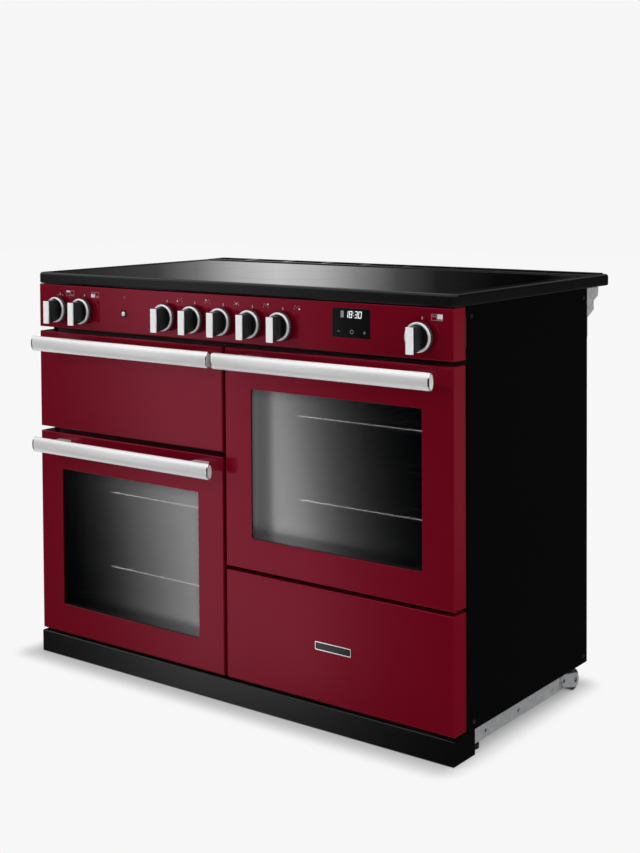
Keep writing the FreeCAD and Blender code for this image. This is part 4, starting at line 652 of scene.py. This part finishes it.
class COOKER_OT_handles(CookerPiece, bpy.types.Operator):
    """Bar handles of elliptical section with rimmed ends on two brackets"""
    bl_idname = "cooker.handles"
    bl_label = "Bar handles"

    def execute(self, context):
        for node in ("door_left_handle", "door_right_handle", "grill_handle"):
            self.handle(node)
        return {"FINISHED"}

    def handle(self, node):
        low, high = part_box(node)
        body = node_body(node)
        half_thick = 7.5 * MM
        centre_y, centre_z = low.y + half_thick, middle(node)[1]
        section = [(across * half_thick, up * (high.z - low.z) / 2) for across, up in circle(0, 0, 1, 48)]

        def skin(stations, ends="capped"):
            """The bar's section through (x, scale) stations."""
            return shape(add_shell, [[(x, centre_y + scale * across, centre_z + scale * up)
                                      for across, up in section] for x, scale in stations], ends)

        bar = [(low.x + 1.5 * MM, 0.964), (low.x + 2.5 * MM, 0.994), (high.x - 2.5 * MM, 0.994),
               (high.x - 1.5 * MM, 0.964)]
        add_piece(node + "_bar", skin(bar), "satin_steel", body, node)
        for side, end, inward in (("left", low.x, MM), ("right", high.x, -MM)):
            rim = [(end + depth * inward, scale) for depth, scale in
                   ((3.5, 1.0), (0.7, 1.0), (0.1, 0.98), (0.1, 0.85), (1.2, 0.83))]
            add_piece(node + "_rim_" + side, skin(rim, "open"), "bright_chrome", body, slot="chrome")
            insert = [(end + depth * inward, 0.84) for depth in (0.6, 1.8)]
            add_piece(node + "_insert_" + side, skin(insert), "satin_steel", body, slot="satin_steel")
        self.brackets(node, low, high, centre_y, centre_z)

    def brackets(self, node, low, high, centre_y, centre_z):
        """Posts of one section from the door's face into the bar's rear."""
        bm = bmesh.new()
        inset, half_width, half_height = 36 * MM, 19.5 * MM, 10.4 * MM
        for x in (low.x + inset + half_width, high.x - inset - half_width):
            add_shell(bm, [[(px, y, pz) for px, pz in
                            rounded(x, centre_z, half_width * gain, half_height * gain, 2.5 * MM)]
                           for y, gain in ((high.y, 1.0), (centre_y + 2 * MM, 0.94))])
        add_piece(node + "_posts", bm, "satin_steel", node_body(node), slot="satin_steel")


class COOKER_OT_knobs(CookerPiece, bpy.types.Operator):
    """Control knobs: skirt with ticks, chromed ring, black ribbed grip with a bright face"""
    bl_idname = "cooker.knobs"
    bl_label = "Control knobs"

    def execute(self, context):
        for node in KNOB_NODES:
            self.knob(node)
        return {"FINISHED"}

    def knob(self, node):
        low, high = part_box(node)
        x, z = middle(node)
        centre = Vector((x, FACE_Y, z))
        rear, flare, ring_rear, ring_front, dish = (-depth * MM for depth in (1.0, 9.0, 14.0, 17.7, 8.0))
        skirt = (high.x - low.x) / 2
        ring, neck = skirt - 1.2 * MM, skirt - 7 * MM
        wall = trim().ring_wall

        bm = shape(add_lathe, centre, (
            (0, rear), (neck, rear), (skirt - 0.3 * MM, flare + 0.4 * MM), (skirt, flare),
            (skirt - 0.3 * MM, flare - 0.6 * MM), (ring + 0.05 * MM, ring_rear), (ring - wall / 2, ring_rear),
            (ring - wall / 2, dish), (0, dish + 1 * MM)), 96)
        add_lathe(bm, centre, ((0, 34 * MM), (3 * MM, 34 * MM), (3 * MM, rear), (0, rear)), 24)
        add_piece(node + "_skirt", bm, "moulding", node, node)

        round_end = wall * 0.4
        profile = [(ring, ring_rear + 0.1 * MM)]
        for bend, start in ((ring - round_end, 0), (ring - wall + round_end, 90)):
            for step in range(6):
                angle = math.radians(start + 90 * step / 5)
                profile.append((bend + round_end * math.cos(angle),
                                ring_front + round_end - round_end * math.sin(angle)))
        profile += [(ring - wall, dish), (ring - wall / 2, dish), profile[0]]
        add_piece(node + "_ring", shape(add_lathe, centre, profile, 96), "ring_chrome", node, slot="chrome")

        inner = ring - wall + 0.1 * MM
        bm = shape(add_lathe, centre, ((inner, dish - 0.4 * MM), (inner - 3 * MM, dish), (0, dish),
                                       (0, dish + 0.8 * MM), (inner, dish + 0.8 * MM), (inner, dish - 0.4 * MM)))
        add_piece(node + "_dish", bm, "moulding", node, slot="black_plastic")
        self.grip(node, centre)
        self.ticks(node, centre, (ring, ring_rear), (skirt, flare))

    def grip(self, node, centre):
        """Black grip body between the flanks, its ribs, and the bright bar on its front."""
        half = 7.75 * MM
        inset = half - 0.9 * MM
        up, down = 20.5 * MM, -28.5 * MM
        front = FACE_Y - 43 * MM
        face_rear = front + 3.2 * MM
        outline = ((face_rear, up - 0.6 * MM), (FACE_Y - 12 * MM, up + 1.5 * MM), (FACE_Y - 6.9 * MM, up + 1.5 * MM),
                   (FACE_Y - 6.9 * MM, -up - 1.5 * MM), (FACE_Y - 16 * MM, -up - 1.5 * MM),
                   (FACE_Y - 20 * MM, down + 4 * MM), (face_rear, down + 1 * MM))
        bm = shape(add_plate, [(y, centre.z + z) for y, z in outline], centre.x - inset, centre.x + inset)
        add_piece(node + "_grip", bm, "moulding", node, slot="black_plastic", soft=0.5 * MM)

        for side, sign in (("left", -1), ("right", 1)):
            ends = sorted(centre.x + sign * (inset + proud * MM) for proud in (-0.1, 0.8))
            bm = shape(add_box, (ends[0], FACE_Y - 14.5 * MM, centre.z - 18 * MM),
                       (ends[1], FACE_Y - 12.5 * MM, centre.z + 18 * MM))
            bmesh.ops.bevel(bm, geom=bm.edges[:], offset=0.35 * MM, segments=2, affect="EDGES")
            ribs = outward(node + "_ribs_" + side, bm)
            # the ribs' lighter moulding is a painted highlight
            grow(ribs, row_tree, count=trim().grip_ribs + 1, step=(0, -5.2 * MM, 0), material=finish("rib_moulding"))
            finish_piece(ribs, node, slot="black_plastic")

        bm = shape(add_box, (centre.x - half, front, centre.z + down), (centre.x + half, face_rear, centre.z + up))
        add_piece(node + "_bar", bm, "brushed_face", node, slot="satin_steel", soft=0.7 * MM, segments=3)

    def ticks(self, node, centre, ring, skirt):
        """Pale marks on the slope from ring to skirt, on the side that turns into view."""
        proud = 0.06 * MM
        (r0, y0), (r1, y1) = ((ring[0] + (skirt[0] - ring[0]) * share, ring[1] + (skirt[1] - ring[1]) * share)
                              for share in (0.12, 0.72))
        outline = ((r0 + proud, y0), (r1 + proud, y1), (r1 - 4 * proud, y1), (r0 - 4 * proud, y0))
        bm = shape(add_shell, [[(radius, y, z) for radius, y in outline] for z in (-0.3 * MM, 0.3 * MM)])
        marks = outward(node + "_ticks", bm)
        grow(marks, ring_tree, count=trim().skirt_ticks, first_angle=math.radians(-60),
             angle_step=math.radians(12), centre=centre, material=finish("faint_ink"))
        finish_piece(marks, node, slot="black_plastic")


class COOKER_OT_prints(CookerPiece, bpy.types.Operator):
    """Generic symbols printed on the control panel"""
    bl_idname = "cooker.prints"
    bl_label = "Printed symbols"

    def execute(self, context):
        self.depths = FACE_Y - trim().print_height, FACE_Y + 0.1 * MM
        self.bright, self.faint = bmesh.new(), bmesh.new()
        for node in KNOB_NODES:
            x, z = middle(node)
            self.hollow(self.bright, rounded, (x + 0.6 * MM, z + 34.0 * MM), (1.3 * MM, 2.4 * MM, 1.2 * MM),
                        (0.65 * MM, 1.7 * MM, 0.6 * MM))
            if "zone" in node:
                self.zone(x + 35.5 * MM, z + 37.7 * MM, int(node[-1]) - 1)
        for lit, (node, offset) in enumerate((("knob_grill", 33.0), ("knob_oven_left", 33.5),
                                              ("knob_oven_right", 32.3))):
            x, z = middle(node)
            self.oven_map(x + offset * MM, z + 36.7 * MM, lit)
        x, z = middle("knob_grill")
        for side in (-7.5 * MM, 7.5 * MM):
            self.stroke(self.bright, x + 0.6 * MM + side, z + 31.3 * MM, -1.6, 1.6, -0.4, 0.4)
        x, z = middle("light_button")
        self.lamp(x + 2 * MM, z + 36.2 * MM)
        for name, bm, material in (("panel_print", self.bright, "ink"), ("panel_print_faint", self.faint, "faint_ink")):
            add_piece(name, bm, material, "cabinet", slot="satin_steel")
        return {"FINISHED"}

    def stroke(self, bm, x, z, *sides):
        """Rectangle with its sides in millimetres from x, z."""
        left, right, bottom, top = (side * MM for side in sides)
        add_prism(bm, rectangle(x + left, x + right, z + bottom, z + top), *self.depths)

    def hollow(self, bm, outline, place, outer, inner):
        """Line between two sizes of one outline."""
        add_loop(bm, outline(*place, *outer), outline(*place, *inner), *self.depths)

    def zone(self, x, z, lit):
        """Five rings, one per cooking zone, with one filled."""
        for index, (dx, dz) in enumerate(((-6.2, -2.6), (-4.6, 3.0), (0.0, 0.0), (4.6, 3.0), (6.2, -2.6))):
            place = x + dx * MM, z + dz * MM
            if index == lit:
                add_prism(self.bright, circle(*place, 1.7 * MM), *self.depths)
            else:
                self.hollow(self.faint, circle, place, (1.5 * MM,), (1.2 * MM,))

    def oven_map(self, x, z, lit):
        """Plan of the cooker's front with one of its compartments filled."""
        cells = ((-12.2, -0.8, 2.2, 5.8), (-12.2, -0.8, -5.8, 1.2), (0.8, 12.2, -2.8, 5.8), (0.8, 12.2, -5.8, -3.8))
        line = 0.55 * MM
        for index, sides in enumerate(cells):
            if index == lit:
                self.stroke(self.bright, x, z, *sides)
            else:
                x0, x1, z0, z1 = (side * MM + start for side, start in zip(sides, (x, x, z, z)))
                add_loop(self.faint, rectangle(x0, x1, z0, z1),
                         rectangle(x0 + line, x1 - line, z0 + line, z1 - line), *self.depths)

    def lamp(self, x, z):
        self.hollow(self.faint, circle, (x, z + 0.8 * MM), (2.0 * MM,), (1.6 * MM,))
        self.stroke(self.faint, x, z, -0.8, 0.8, -2.6, -1.6)


class COOKER_OT_clock(CookerPiece, bpy.types.Operator):
    """Clock glass with its lit digits and touch symbols, and the light button"""
    bl_idname = "cooker.clock"
    bl_label = "Clock and button"

    def execute(self, context):
        for node, material, width in (("clock_glass", "clock_black", 0.4), ("control_units", "moulding", 0.3),
                                      ("light_button", "ring_chrome", 0.2)):
            dressed(node, material, width * MM)
        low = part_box("clock_glass")[0]
        self.depths = low.y - 0.03 * MM, low.y + 0.1 * MM
        bm = bmesh.new()
        x, z = low.x + 29.8 * MM, low.z + 37.8 * MM
        for mark in trim().clock_text:
            if mark == ":":
                for bottom in (z + 3.6 * MM, z + 8.6 * MM):
                    self.bar(bm, x + 0.3 * MM, x + 1.5 * MM, bottom, bottom + 1.2 * MM)
                x += 3.2 * MM
            else:
                self.digit(bm, x, z, int(mark))
                x += 9.2 * MM
        for vert in bm.verts:
            vert.co.x += (vert.co.z - z) * 0.12
        add_piece("clock_digits", bm, "clock_lit", "cabinet", slot="clock_glass")
        bm = bmesh.new()
        for row in range(4):
            z = low.z + (38.0 + row * 3.3) * MM
            self.bar(bm, low.x + 19.8 * MM, low.x + 27.0 * MM, z, z + 2.6 * MM)
        minus, ring, plus = (low.x + offset * MM for offset in (14.8, 45.8, 74.8))
        z = low.z + 11.3 * MM
        add_loop(bm, circle(ring, z, 4.0 * MM), circle(ring, z, 3.1 * MM), *self.depths)
        for x in (minus, plus):
            self.bar(bm, x - 3.2 * MM, x + 3.2 * MM, z - 0.4 * MM, z + 0.4 * MM)
        for bottom in (z + 0.4 * MM, z - 3.2 * MM):
            self.bar(bm, plus - 0.4 * MM, plus + 0.4 * MM, bottom, bottom + 2.8 * MM)
        add_piece("clock_symbols", bm, "clock_faint", "cabinet", slot="clock_glass")
        return {"FINISHED"}

    def bar(self, bm, *sides):
        add_prism(bm, rectangle(*sides), *self.depths)

    def digit(self, bm, x, z, number):
        """Seven bars of a digit whose lower left corner is at x, z."""
        wide, tall, line, gap = 7.0 * MM, 13.0 * MM, 1.1 * MM, 0.25 * MM
        half = tall / 2
        across, left, right = (x + line, x + wide - line), (x, x + line), (x + wide - line, x + wide)
        upper, lower = (z + half + gap, z + tall - gap), (z + gap, z + half - gap)
        bars = {"a": across + (z + tall - line, z + tall), "g": across + (z + half - line / 2, z + half + line / 2),
                "d": across + (z, z + line), "f": left + upper, "b": right + upper, "e": left + lower,
                "c": right + lower}
        lit = ("abcdef", "bc", "abged", "abgcd", "fgbc", "afgcd", "afgedc", "abc", "abcdefg", "abcdfg")[number]
        for key in lit:
            self.bar(bm, *bars[key])


class COOKER_OT_hob(CookerPiece, bpy.types.Operator):
    """Hob rim, glass with its printed zones, vent and the coils below"""
    bl_idname = "cooker.hob"
    bl_label = "Hob"

    def execute(self, context):
        for node, material, width in (("hob_frame", "hob_paint", 0.5), ("hob_vent", "hob_paint", 0.7),
                                      ("hob_glass", "hob_glass_black", 0.4), ("hob_tray", "zinc", 0.4)):
            dressed(node, material, width * MM)
        paint("induction_coils", finish("coil_copper"))
        self.zones()
        return {"FINISHED"}

    def zones(self):
        """Thin printed ring over each coil."""
        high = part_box("hob_glass")[1]
        top = high.z + 0.05 * MM
        bm = bmesh.new()
        for x, depth_share, radius in ((-385, 0.245, 85), (-368.5, 0.64, 105), (0, 0.44, 135), (368.5, 0.64, 105),
                                       (385, 0.245, 85)):
            place = x * MM, FACE_Y + depth_share * (high.y - FACE_Y)
            outer, inner = circle(*place, radius * MM, 96), circle(*place, (radius - 0.9) * MM, 96)
            add_shell(bm, [[(px, py, z) for px, py in points] for points, z in
                           ((outer, high.z), (outer, top), (inner, top), (inner, high.z))], "closed")
        add_piece("zone_rings", bm, "zone_ink", "cabinet", slot="hob_glass")


class COOKER_OT_cabinet(CookerPiece, bpy.types.Operator):
    """Side panels, plinth, back, duct, frame and rails"""
    bl_idname = "cooker.cabinet"
    bl_label = "Cabinet"

    def execute(self, context):
        for node, material in (("side_panels", "side_paint"), ("plinth", "plinth_paint"), ("back_panel", "zinc"),
                               ("rear_duct", "zinc"), ("terminal_box", "moulding"), ("base_tray", "side_paint"),
                               ("front_frame", "lining"), ("slide_rails", "zinc")):
            dressed(node, material, 0.5 * MM)
        self.rails()
        self.screws()
        self.louvres()
        return {"FINISHED"}

    def rails(self):
        """Base rails, black as far as the plinth reaches beside them: painted shade for the dark gap above the plinth.
        """
        mesh = dressed("base_rails", "zinc", 0.5 * MM).data
        # second material: black paint as painted shade on the rails' front ends
        mesh.materials.append(finish("side_paint"))
        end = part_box("plinth")[1].y - 0.5 * MM
        bm = bmesh.new()
        bm.from_mesh(mesh)
        bmesh.ops.bisect_plane(bm, geom=bm.verts[:] + bm.edges[:] + bm.faces[:], plane_co=(0, end, 0),
                               plane_no=(0, 1, 0))
        for face in bm.faces:
            if face.calc_center_median().y < end:
                face.material_index = 1
        bm.to_mesh(mesh)
        bm.free()

    def screws(self):
        """Pan-head screws at the edges of the side panels and of the back."""
        head = ((0, 0.2), (3.6, 0.2), (3.6, -0.6), (2.6, -1.4), (1.0, -1.7), (0.9, -1.2), (0, -1.2))
        bm = shape(add_lathe, Vector(), [(radius * MM, y * MM) for radius, y in head], 16)
        screw = outward("screw_pattern", bm)
        low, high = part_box("side_panels")
        places = [(FACE_Y + depth * MM, z) for depth, z in ((57, 0.816), (63, 0.067), (505, 0.816), (505, 0.067))]
        for side, x, turn in (("right", high.x, math.pi / 2), ("left", low.x, -math.pi / 2)):
            self.place("side_screws_" + side, [(x, y, z) for y, z in places], screw, turn, "dark_screw")
        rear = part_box("back_panel")[1].y
        places = [(x, rear, z) for x in (-0.53, -0.27, 0, 0.27, 0.53) for z in (0.07, 0.72)]
        self.place("back_screws", places, screw, math.pi, "bright_chrome")
        bpy.data.objects.remove(screw)

    def place(self, name, places, pattern, turn, material):
        """Copies of a pattern turned about Z."""
        mesh = bpy.data.meshes.new(name)
        mesh.from_pydata(places, [], [])
        obj = link(name, mesh)
        grow(obj, points_tree, piece=pattern, turn=(0, 0, turn), material=finish(material))
        smooth(obj.data, CAD_SHARP)
        finish_piece(obj, "cabinet", slot="galvanised")

    def louvres(self):
        """Rows of pressed vents in the back."""
        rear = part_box("back_panel")[1].y
        for number, (x, z) in enumerate(((-0.44, 0.50), (0.16, 0.50), (-0.44, 0.24)), 1):
            section = [(rear + dy * MM, z + dz * MM) for dy, dz in ((0, 0), (4, 1), (5, 6), (0, 7))]
            bm = shape(add_plate, section, x, x + 0.26)
            bmesh.ops.recalc_face_normals(bm, faces=bm.faces)
            bmesh.ops.bevel(bm, geom=bm.edges[:], offset=1.2 * MM, segments=3, affect="EDGES")
            vents = outward("back_louvres_%d" % number, bm)
            grow(vents, row_tree, count=7, step=(0, 0, 18 * MM), material=finish("zinc"))
            finish_piece(vents, "cabinet", slot="galvanised")


class COOKER_OT_interior(CookerPiece, bpy.types.Operator):
    """Oven and grill linings, shelves, fans, elements, lamps and seals"""
    bl_idname = "cooker.interior"
    bl_label = "Interior"

    def execute(self, context):
        for node in ("oven_liner_left", "oven_liner_right", "grill_liner", "fan_covers"):
            dressed(node, "lining", 0.5 * MM)
        # painted glint on the shelves' front wires, made before the shelves are dressed
        paint_shelf_glint()
        for node, material in (("oven_shelves", "shelf_chrome"), ("fan_left", "zinc"), ("fan_right", "zinc"),
                               ("fan_motors", "dull_iron"), ("heating_elements", "dull_iron"),
                               ("oven_lamps", "lamp_glass")):
            dressed(node, material)
        dressed("door_seals", "woven_seal", 1.5 * MM, 3)
        return {"FINISHED"}


class COOKER_OT_pullouts(CookerPiece, bpy.types.Operator):
    """Grill carriage, pan and rack, and the drawer's steel box"""
    bl_idname = "cooker.pullouts"
    bl_label = "Grill pan and drawer"

    def execute(self, context):
        for node, material, width in (("grill_carriage", "zinc", 0.5), ("grill_pan", "lining", 0.6),
                                      ("drawer_box", "zinc", 0.5), ("grill_rack", "wire_chrome", 0)):
            dressed(node, material, width * MM)
        return {"FINISHED"}


class COOKER_OT_feet(CookerPiece, bpy.types.Operator):
    """Levelling feet, roller arms and rollers"""
    bl_idname = "cooker.feet"
    bl_label = "Feet and rollers"

    def execute(self, context):
        for side in SIDES:
            dressed("foot_" + side, "moulding", 0.6 * MM)
            dressed("roller_arm_" + side, "zinc", 0.5 * MM)
            dressed("roller_" + side, "nylon", 1.2 * MM, 3)
            self.arm_marks(side)
        return {"FINISHED"}

    def arm_marks(self, side):
        """Dark star at the pivot as painted recess shade, a dark line at the front end as painted shadow, the pin in a
        dark ring.
        """
        arm = "roller_arm_" + side
        low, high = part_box(arm)
        wheel_low, wheel_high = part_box("roller_" + side)
        face, out = (high.x, MM) if side == "right" else (low.x, -MM)
        pin = (wheel_low.y + wheel_high.y) / 2, (wheel_low.z + wheel_high.z) / 2
        y_pivot, z_pivot = low.y + 13 * MM, pin[1] + 12 * MM
        star = []
        # dark star plate: painted shade of the pivot's recess
        for step in range(12):
            radius, angle = (5.6 if step % 2 else 2.6) * MM, math.pi * step / 6
            star.append((y_pivot + radius * math.sin(angle), z_pivot + radius * math.cos(angle)))
        # dark slanted line at the arm's front end: a painted shadow
        line = [(low.y + dy * MM, z_pivot + dz * MM) for dy, dz in ((0.5, 3), (3.4, 3), (7.0, -11), (4.5, -11))]
        bm = bmesh.new()
        for outline in (star, line, circle(*pin, 5.2 * MM)):
            add_plate(bm, outline, face - 0.1 * out, face + 0.25 * out)
        add_piece(arm + "_marks", bm, "moulding", node_body(arm), slot="black_plastic")
        bm = shape(add_plate, circle(*pin, 3.4 * MM), face - 0.1 * out, face + out)
        add_piece(arm + "_pin", bm, "bright_chrome", node_body(arm), slot="galvanised", soft=0.3 * MM)


class COOKER_OT_stage(CookerPiece, bpy.types.Operator):
    """Floor, lamps, surroundings and the camera of the photograph"""
    bl_idname = "cooker.stage"
    bl_label = "Studio"

    def execute(self, context):
        context.scene.view_settings.view_transform = "Standard"
        self.camera(context.scene)
        self.floor()
        self.world(context.scene)
        self.lamps()
        return {"FINISHED"}

    def camera(self, scene):
        """Camera fitted to the photograph: place, turn, and a vertical shift for its framing."""
        place = Vector((1.88971, FACE_Y - 2.17318, 1.07695))
        yaw, pitch, roll = (math.radians(angle) for angle in (37.085, 2.075, -0.336))
        focal_pixels, tall_pixels, shift_pixels = 1426.4, 853.0, 201.07
        forward = Vector((-math.sin(yaw) * math.cos(pitch), math.cos(yaw) * math.cos(pitch), -math.sin(pitch)))
        level = Vector((math.cos(yaw), math.sin(yaw), 0))
        upright = level.cross(forward)
        right = level * math.cos(roll) + upright * math.sin(roll)
        up = upright * math.cos(roll) - level * math.sin(roll)
        data = bpy.data.cameras.new("camera")
        data.sensor_width = 36.0
        data.lens = focal_pixels / tall_pixels * data.sensor_width
        data.shift_y = -shift_pixels / tall_pixels
        scene.camera = link("camera", data)
        turn = Matrix((right, up, -forward)).transposed()
        scene.camera.matrix_world = Matrix.Translation(place) @ turn.to_4x4()

    def floor(self):
        """White floor, shaded close to the cooker by its diffuse part and by a painted contact shadow in its emission,
        and evenly pale away from it for the camera.
        """
        reach = 14.0
        bm = bmesh.new()
        bm.faces.new([bm.verts.new((x, y, 0)) for x, y in rectangle(-reach, reach, -reach, reach)])
        floor = outward("studio_floor", bm)
        floor.visible_glossy = False
        material = bpy.data.materials.new("studio_floor")
        material.use_nodes = True
        floor.data.materials.append(material)
        tree = material.node_tree
        tree.nodes.clear()
        half_depth = (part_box("side_panels")[1].y - FACE_Y) / 2
        away = coordinates(tree)
        # distance from a box round the cooker's footprint, which shapes the painted shadow
        for operation, *amount in (("SUBTRACT", (-0.012, FACE_Y + half_depth - 0.01, 0)), ("ABSOLUTE",),
                                   ("SUBTRACT", (0.533, half_depth, 0)), ("MAXIMUM", (0, 0, 0)), ("LENGTH",)):
            away = vector_maths(tree, operation, away, *amount)
        diffuse = put(tree, "ShaderNodeBsdfDiffuse", {"Color": (0.93, 0.93, 0.93, 1)})
        # emission dimmed near the cooker's footprint: a painted contact shadow
        pale = put(tree, "ShaderNodeEmission", {"Color": (1, 1, 1, 1),
                                                "Strength": change(tree, away, -0.01, 0.065, 0.36, 0.930)})
        seen = put(tree, "ShaderNodeLightPath").outputs["Is Camera Ray"]
        share = maths(tree, "MULTIPLY", seen, change(tree, away, 0.0, 0.08, 0.6, 1.0))
        self.output(tree, "ShaderNodeOutputMaterial", share, diffuse.outputs["BSDF"], pale.outputs["Emission"])

    def output(self, tree, kind, share, first, second):
        blend = put(tree, "ShaderNodeMixShader", {"Fac": share, 1: first, 2: second}).outputs["Shader"]
        put(tree, kind, {"Surface": blend})

    def world(self, scene):
        """Even light, a pale background for the camera, and a soft box with dark sides for reflections."""
        world = bpy.data.worlds.new("studio")
        world.use_nodes = True
        scene.world = world
        tree = world.node_tree
        tree.nodes.clear()
        calc = partial(maths, tree)
        bands = partial(self.bands, tree)
        towards = parts_of(tree, coordinates(tree, "Generated"))
        height = towards["Z"]
        share = calc("ADD", calc("DIVIDE", calc("ARCTAN2", towards["X"], towards["Y"]), 2 * math.pi), 0.5)
        leaning = calc("ADD", share, calc("MULTIPLY", calc("SUBTRACT", -0.21, height), 0.16 / (2 * math.pi)))
        room = ((0, 0.08), (10, 0.05), (18, 0.0), (30, 0.0), (52, 0.0), (66, 0.04), (80, 0.7), (118, 0.7), (130, 0.03),
                (152, 0.0), (167, 0.25), (184, 0.3), (196, 0.02), (230, 0.01), (250, 0.12), (330, 0.12),
                (345, 0.08), (360, 0.08))
        window = ((33.1, 0.0), (34.1, 0.015), (34.6, 0.04), (35.1, 0.07), (35.6, 0.13), (36.1, 0.21), (36.6, 0.33),
                  (37.1, 0.54), (37.6, 0.80), (38.0, 1.10), (38.4, 1.32), (38.8, 1.50), (39.2, 1.50), (41.0, 1.38),
                  (42.4, 1.34), (42.9, 1.20), (43.4, 1.00), (43.9, 0.80), (44.4, 0.60), (44.9, 0.42), (45.4, 0.26),
                  (45.9, 0.13), (46.4, 0.06), (46.9, 0.02), (47.5, 0.0))
        bar = ((38.95, 1.0), (39.2, 0.42), (39.5, 0.33), (39.9, 0.42), (40.8, 0.93), (41.2, 1.0))
        flank = ((203, 0.0), (209, 0.13), (226, 0.13), (232, 0.0))
        screen = ((133, 0.0), (136.4, 0.05), (138, 0.22), (139.6, 0.58), (141.2, 0.79), (142.8, 0.62), (144.4, 0.30),
                  (146, 0.08), (147.6, 0.012), (150, 0.0))
        side = calc("MULTIPLY", bands(share, flank), change(tree, height, -0.31, -0.22))
        side = calc("MULTIPLY", side, change(tree, height, -0.100, -0.088, 1.0, 0.0))
        panes = calc("MULTIPLY", bands(leaning, window), bands(share, bar))
        panes = calc("MULTIPLY", panes, change(tree, height, -0.354, -0.330, 0.1, 1.0))
        level = bands(share, room)
        for more in (panes, side, bands(share, screen)):
            level = calc("ADD", level, more)
        tilted = calc("SUBTRACT", height, calc("MULTIPLY", calc("MAXIMUM", towards["Y"], 0.0), 0.45))
        above_and_below = calc("ADD", change(tree, tilted, 0.16, 0.42), change(tree, height, -0.72, -0.46, 0.45, 0.0))
        even, gloss, pale = (
            put(tree, "ShaderNodeBackground", {"Color": (grey, grey, grey, 1), "Strength": strength}).outputs[0]
            for grey, strength in ((1, 0.55), (1, calc("MAXIMUM", level, above_and_below)), (0.922, 1.0)))
        rays = put(tree, "ShaderNodeLightPath").outputs
        light = put(tree, "ShaderNodeMixShader", {"Fac": rays["Is Glossy Ray"], 1: even, 2: gloss})
        self.output(tree, "ShaderNodeOutputWorld", rays["Is Camera Ray"], light.outputs["Shader"], pale)

    def bands(self, tree, share, table):
        """Brightness round the horizon from (degrees from the front, value) pairs."""
        first, last = table[0][0], table[-1][0]
        peak = max(value for degrees, value in table)
        ramp = put(tree, "ShaderNodeValToRGB", {"Fac": change(tree, share, first / 360, last / 360, kind="LINEAR")})
        elements = ramp.color_ramp.elements
        while len(elements) < len(table):
            elements.new(0.5)
        for element, (degrees, value) in zip(elements, table):
            element.position = (degrees - first) / (last - first)
            element.color = (value / peak, value / peak, value / peak, 1)
        return maths(tree, "MULTIPLY", ramp.outputs["Color"], peak)

    def lamps(self):
        """Large soft lamps: one ahead on the left, one ahead on the right, one above."""
        for name, place, size, power in (("lamp_left", (-2.6, -3.2, 2.2), 2.4, 55),
                                         ("lamp_right", (3.2, -0.5, 1.5), 1.6, 43),
                                         ("lamp_top", (0.0, -0.4, 3.4), 2.6, 38)):
            data = bpy.data.lights.new(name, "AREA")
            data.shape = "SQUARE"
            data.size = size
            data.energy = power
            lamp = link(name, data)
            lamp.location = place
            lamp.rotation_euler = (Vector((0, 0, 0.5)) - Vector(place)).to_track_quat("-Z", "Y").to_euler()
            lamp.visible_glossy = False


OPERATORS = (COOKER_OT_panels, COOKER_OT_windows, COOKER_OT_handles, COOKER_OT_knobs, COOKER_OT_prints,
             COOKER_OT_clock, COOKER_OT_hob, COOKER_OT_cabinet, COOKER_OT_interior, COOKER_OT_pullouts,
             COOKER_OT_feet, COOKER_OT_stage)


class COOKER_PT_build(bpy.types.Panel):
    """Lists the steps that dress the cooker"""
    bl_label = "Range cooker"
    bl_idname = "COOKER_PT_build"
    bl_space_type = "VIEW_3D"
    bl_region_type = "UI"
    bl_category = "Cooker"

    def draw(self, context):
        for group in (context.scene.cooker_finish, context.scene.cooker_trim):
            column = self.layout.column()
            for name in group.__annotations__:
                column.prop(group, name)
        for operator in OPERATORS:
            self.layout.operator(operator.bl_idname)


CLASSES = (CookerFinish, CookerTrim) + OPERATORS + (COOKER_PT_build,)


def register():
    for item in CLASSES:
        bpy.utils.register_class(item)
    bpy.types.Scene.cooker_finish = PointerProperty(type=CookerFinish)
    bpy.types.Scene.cooker_trim = PointerProperty(type=CookerTrim)


def unregister():
    del bpy.types.Scene.cooker_trim
    del bpy.types.Scene.cooker_finish
    for item in reversed(CLASSES):
        bpy.utils.unregister_class(item)


def main():
    register()
    for operator in OPERATORS:
        getattr(bpy.ops.cooker, operator.bl_idname.split(".")[1])()


if __name__ == "__main__":
    main()
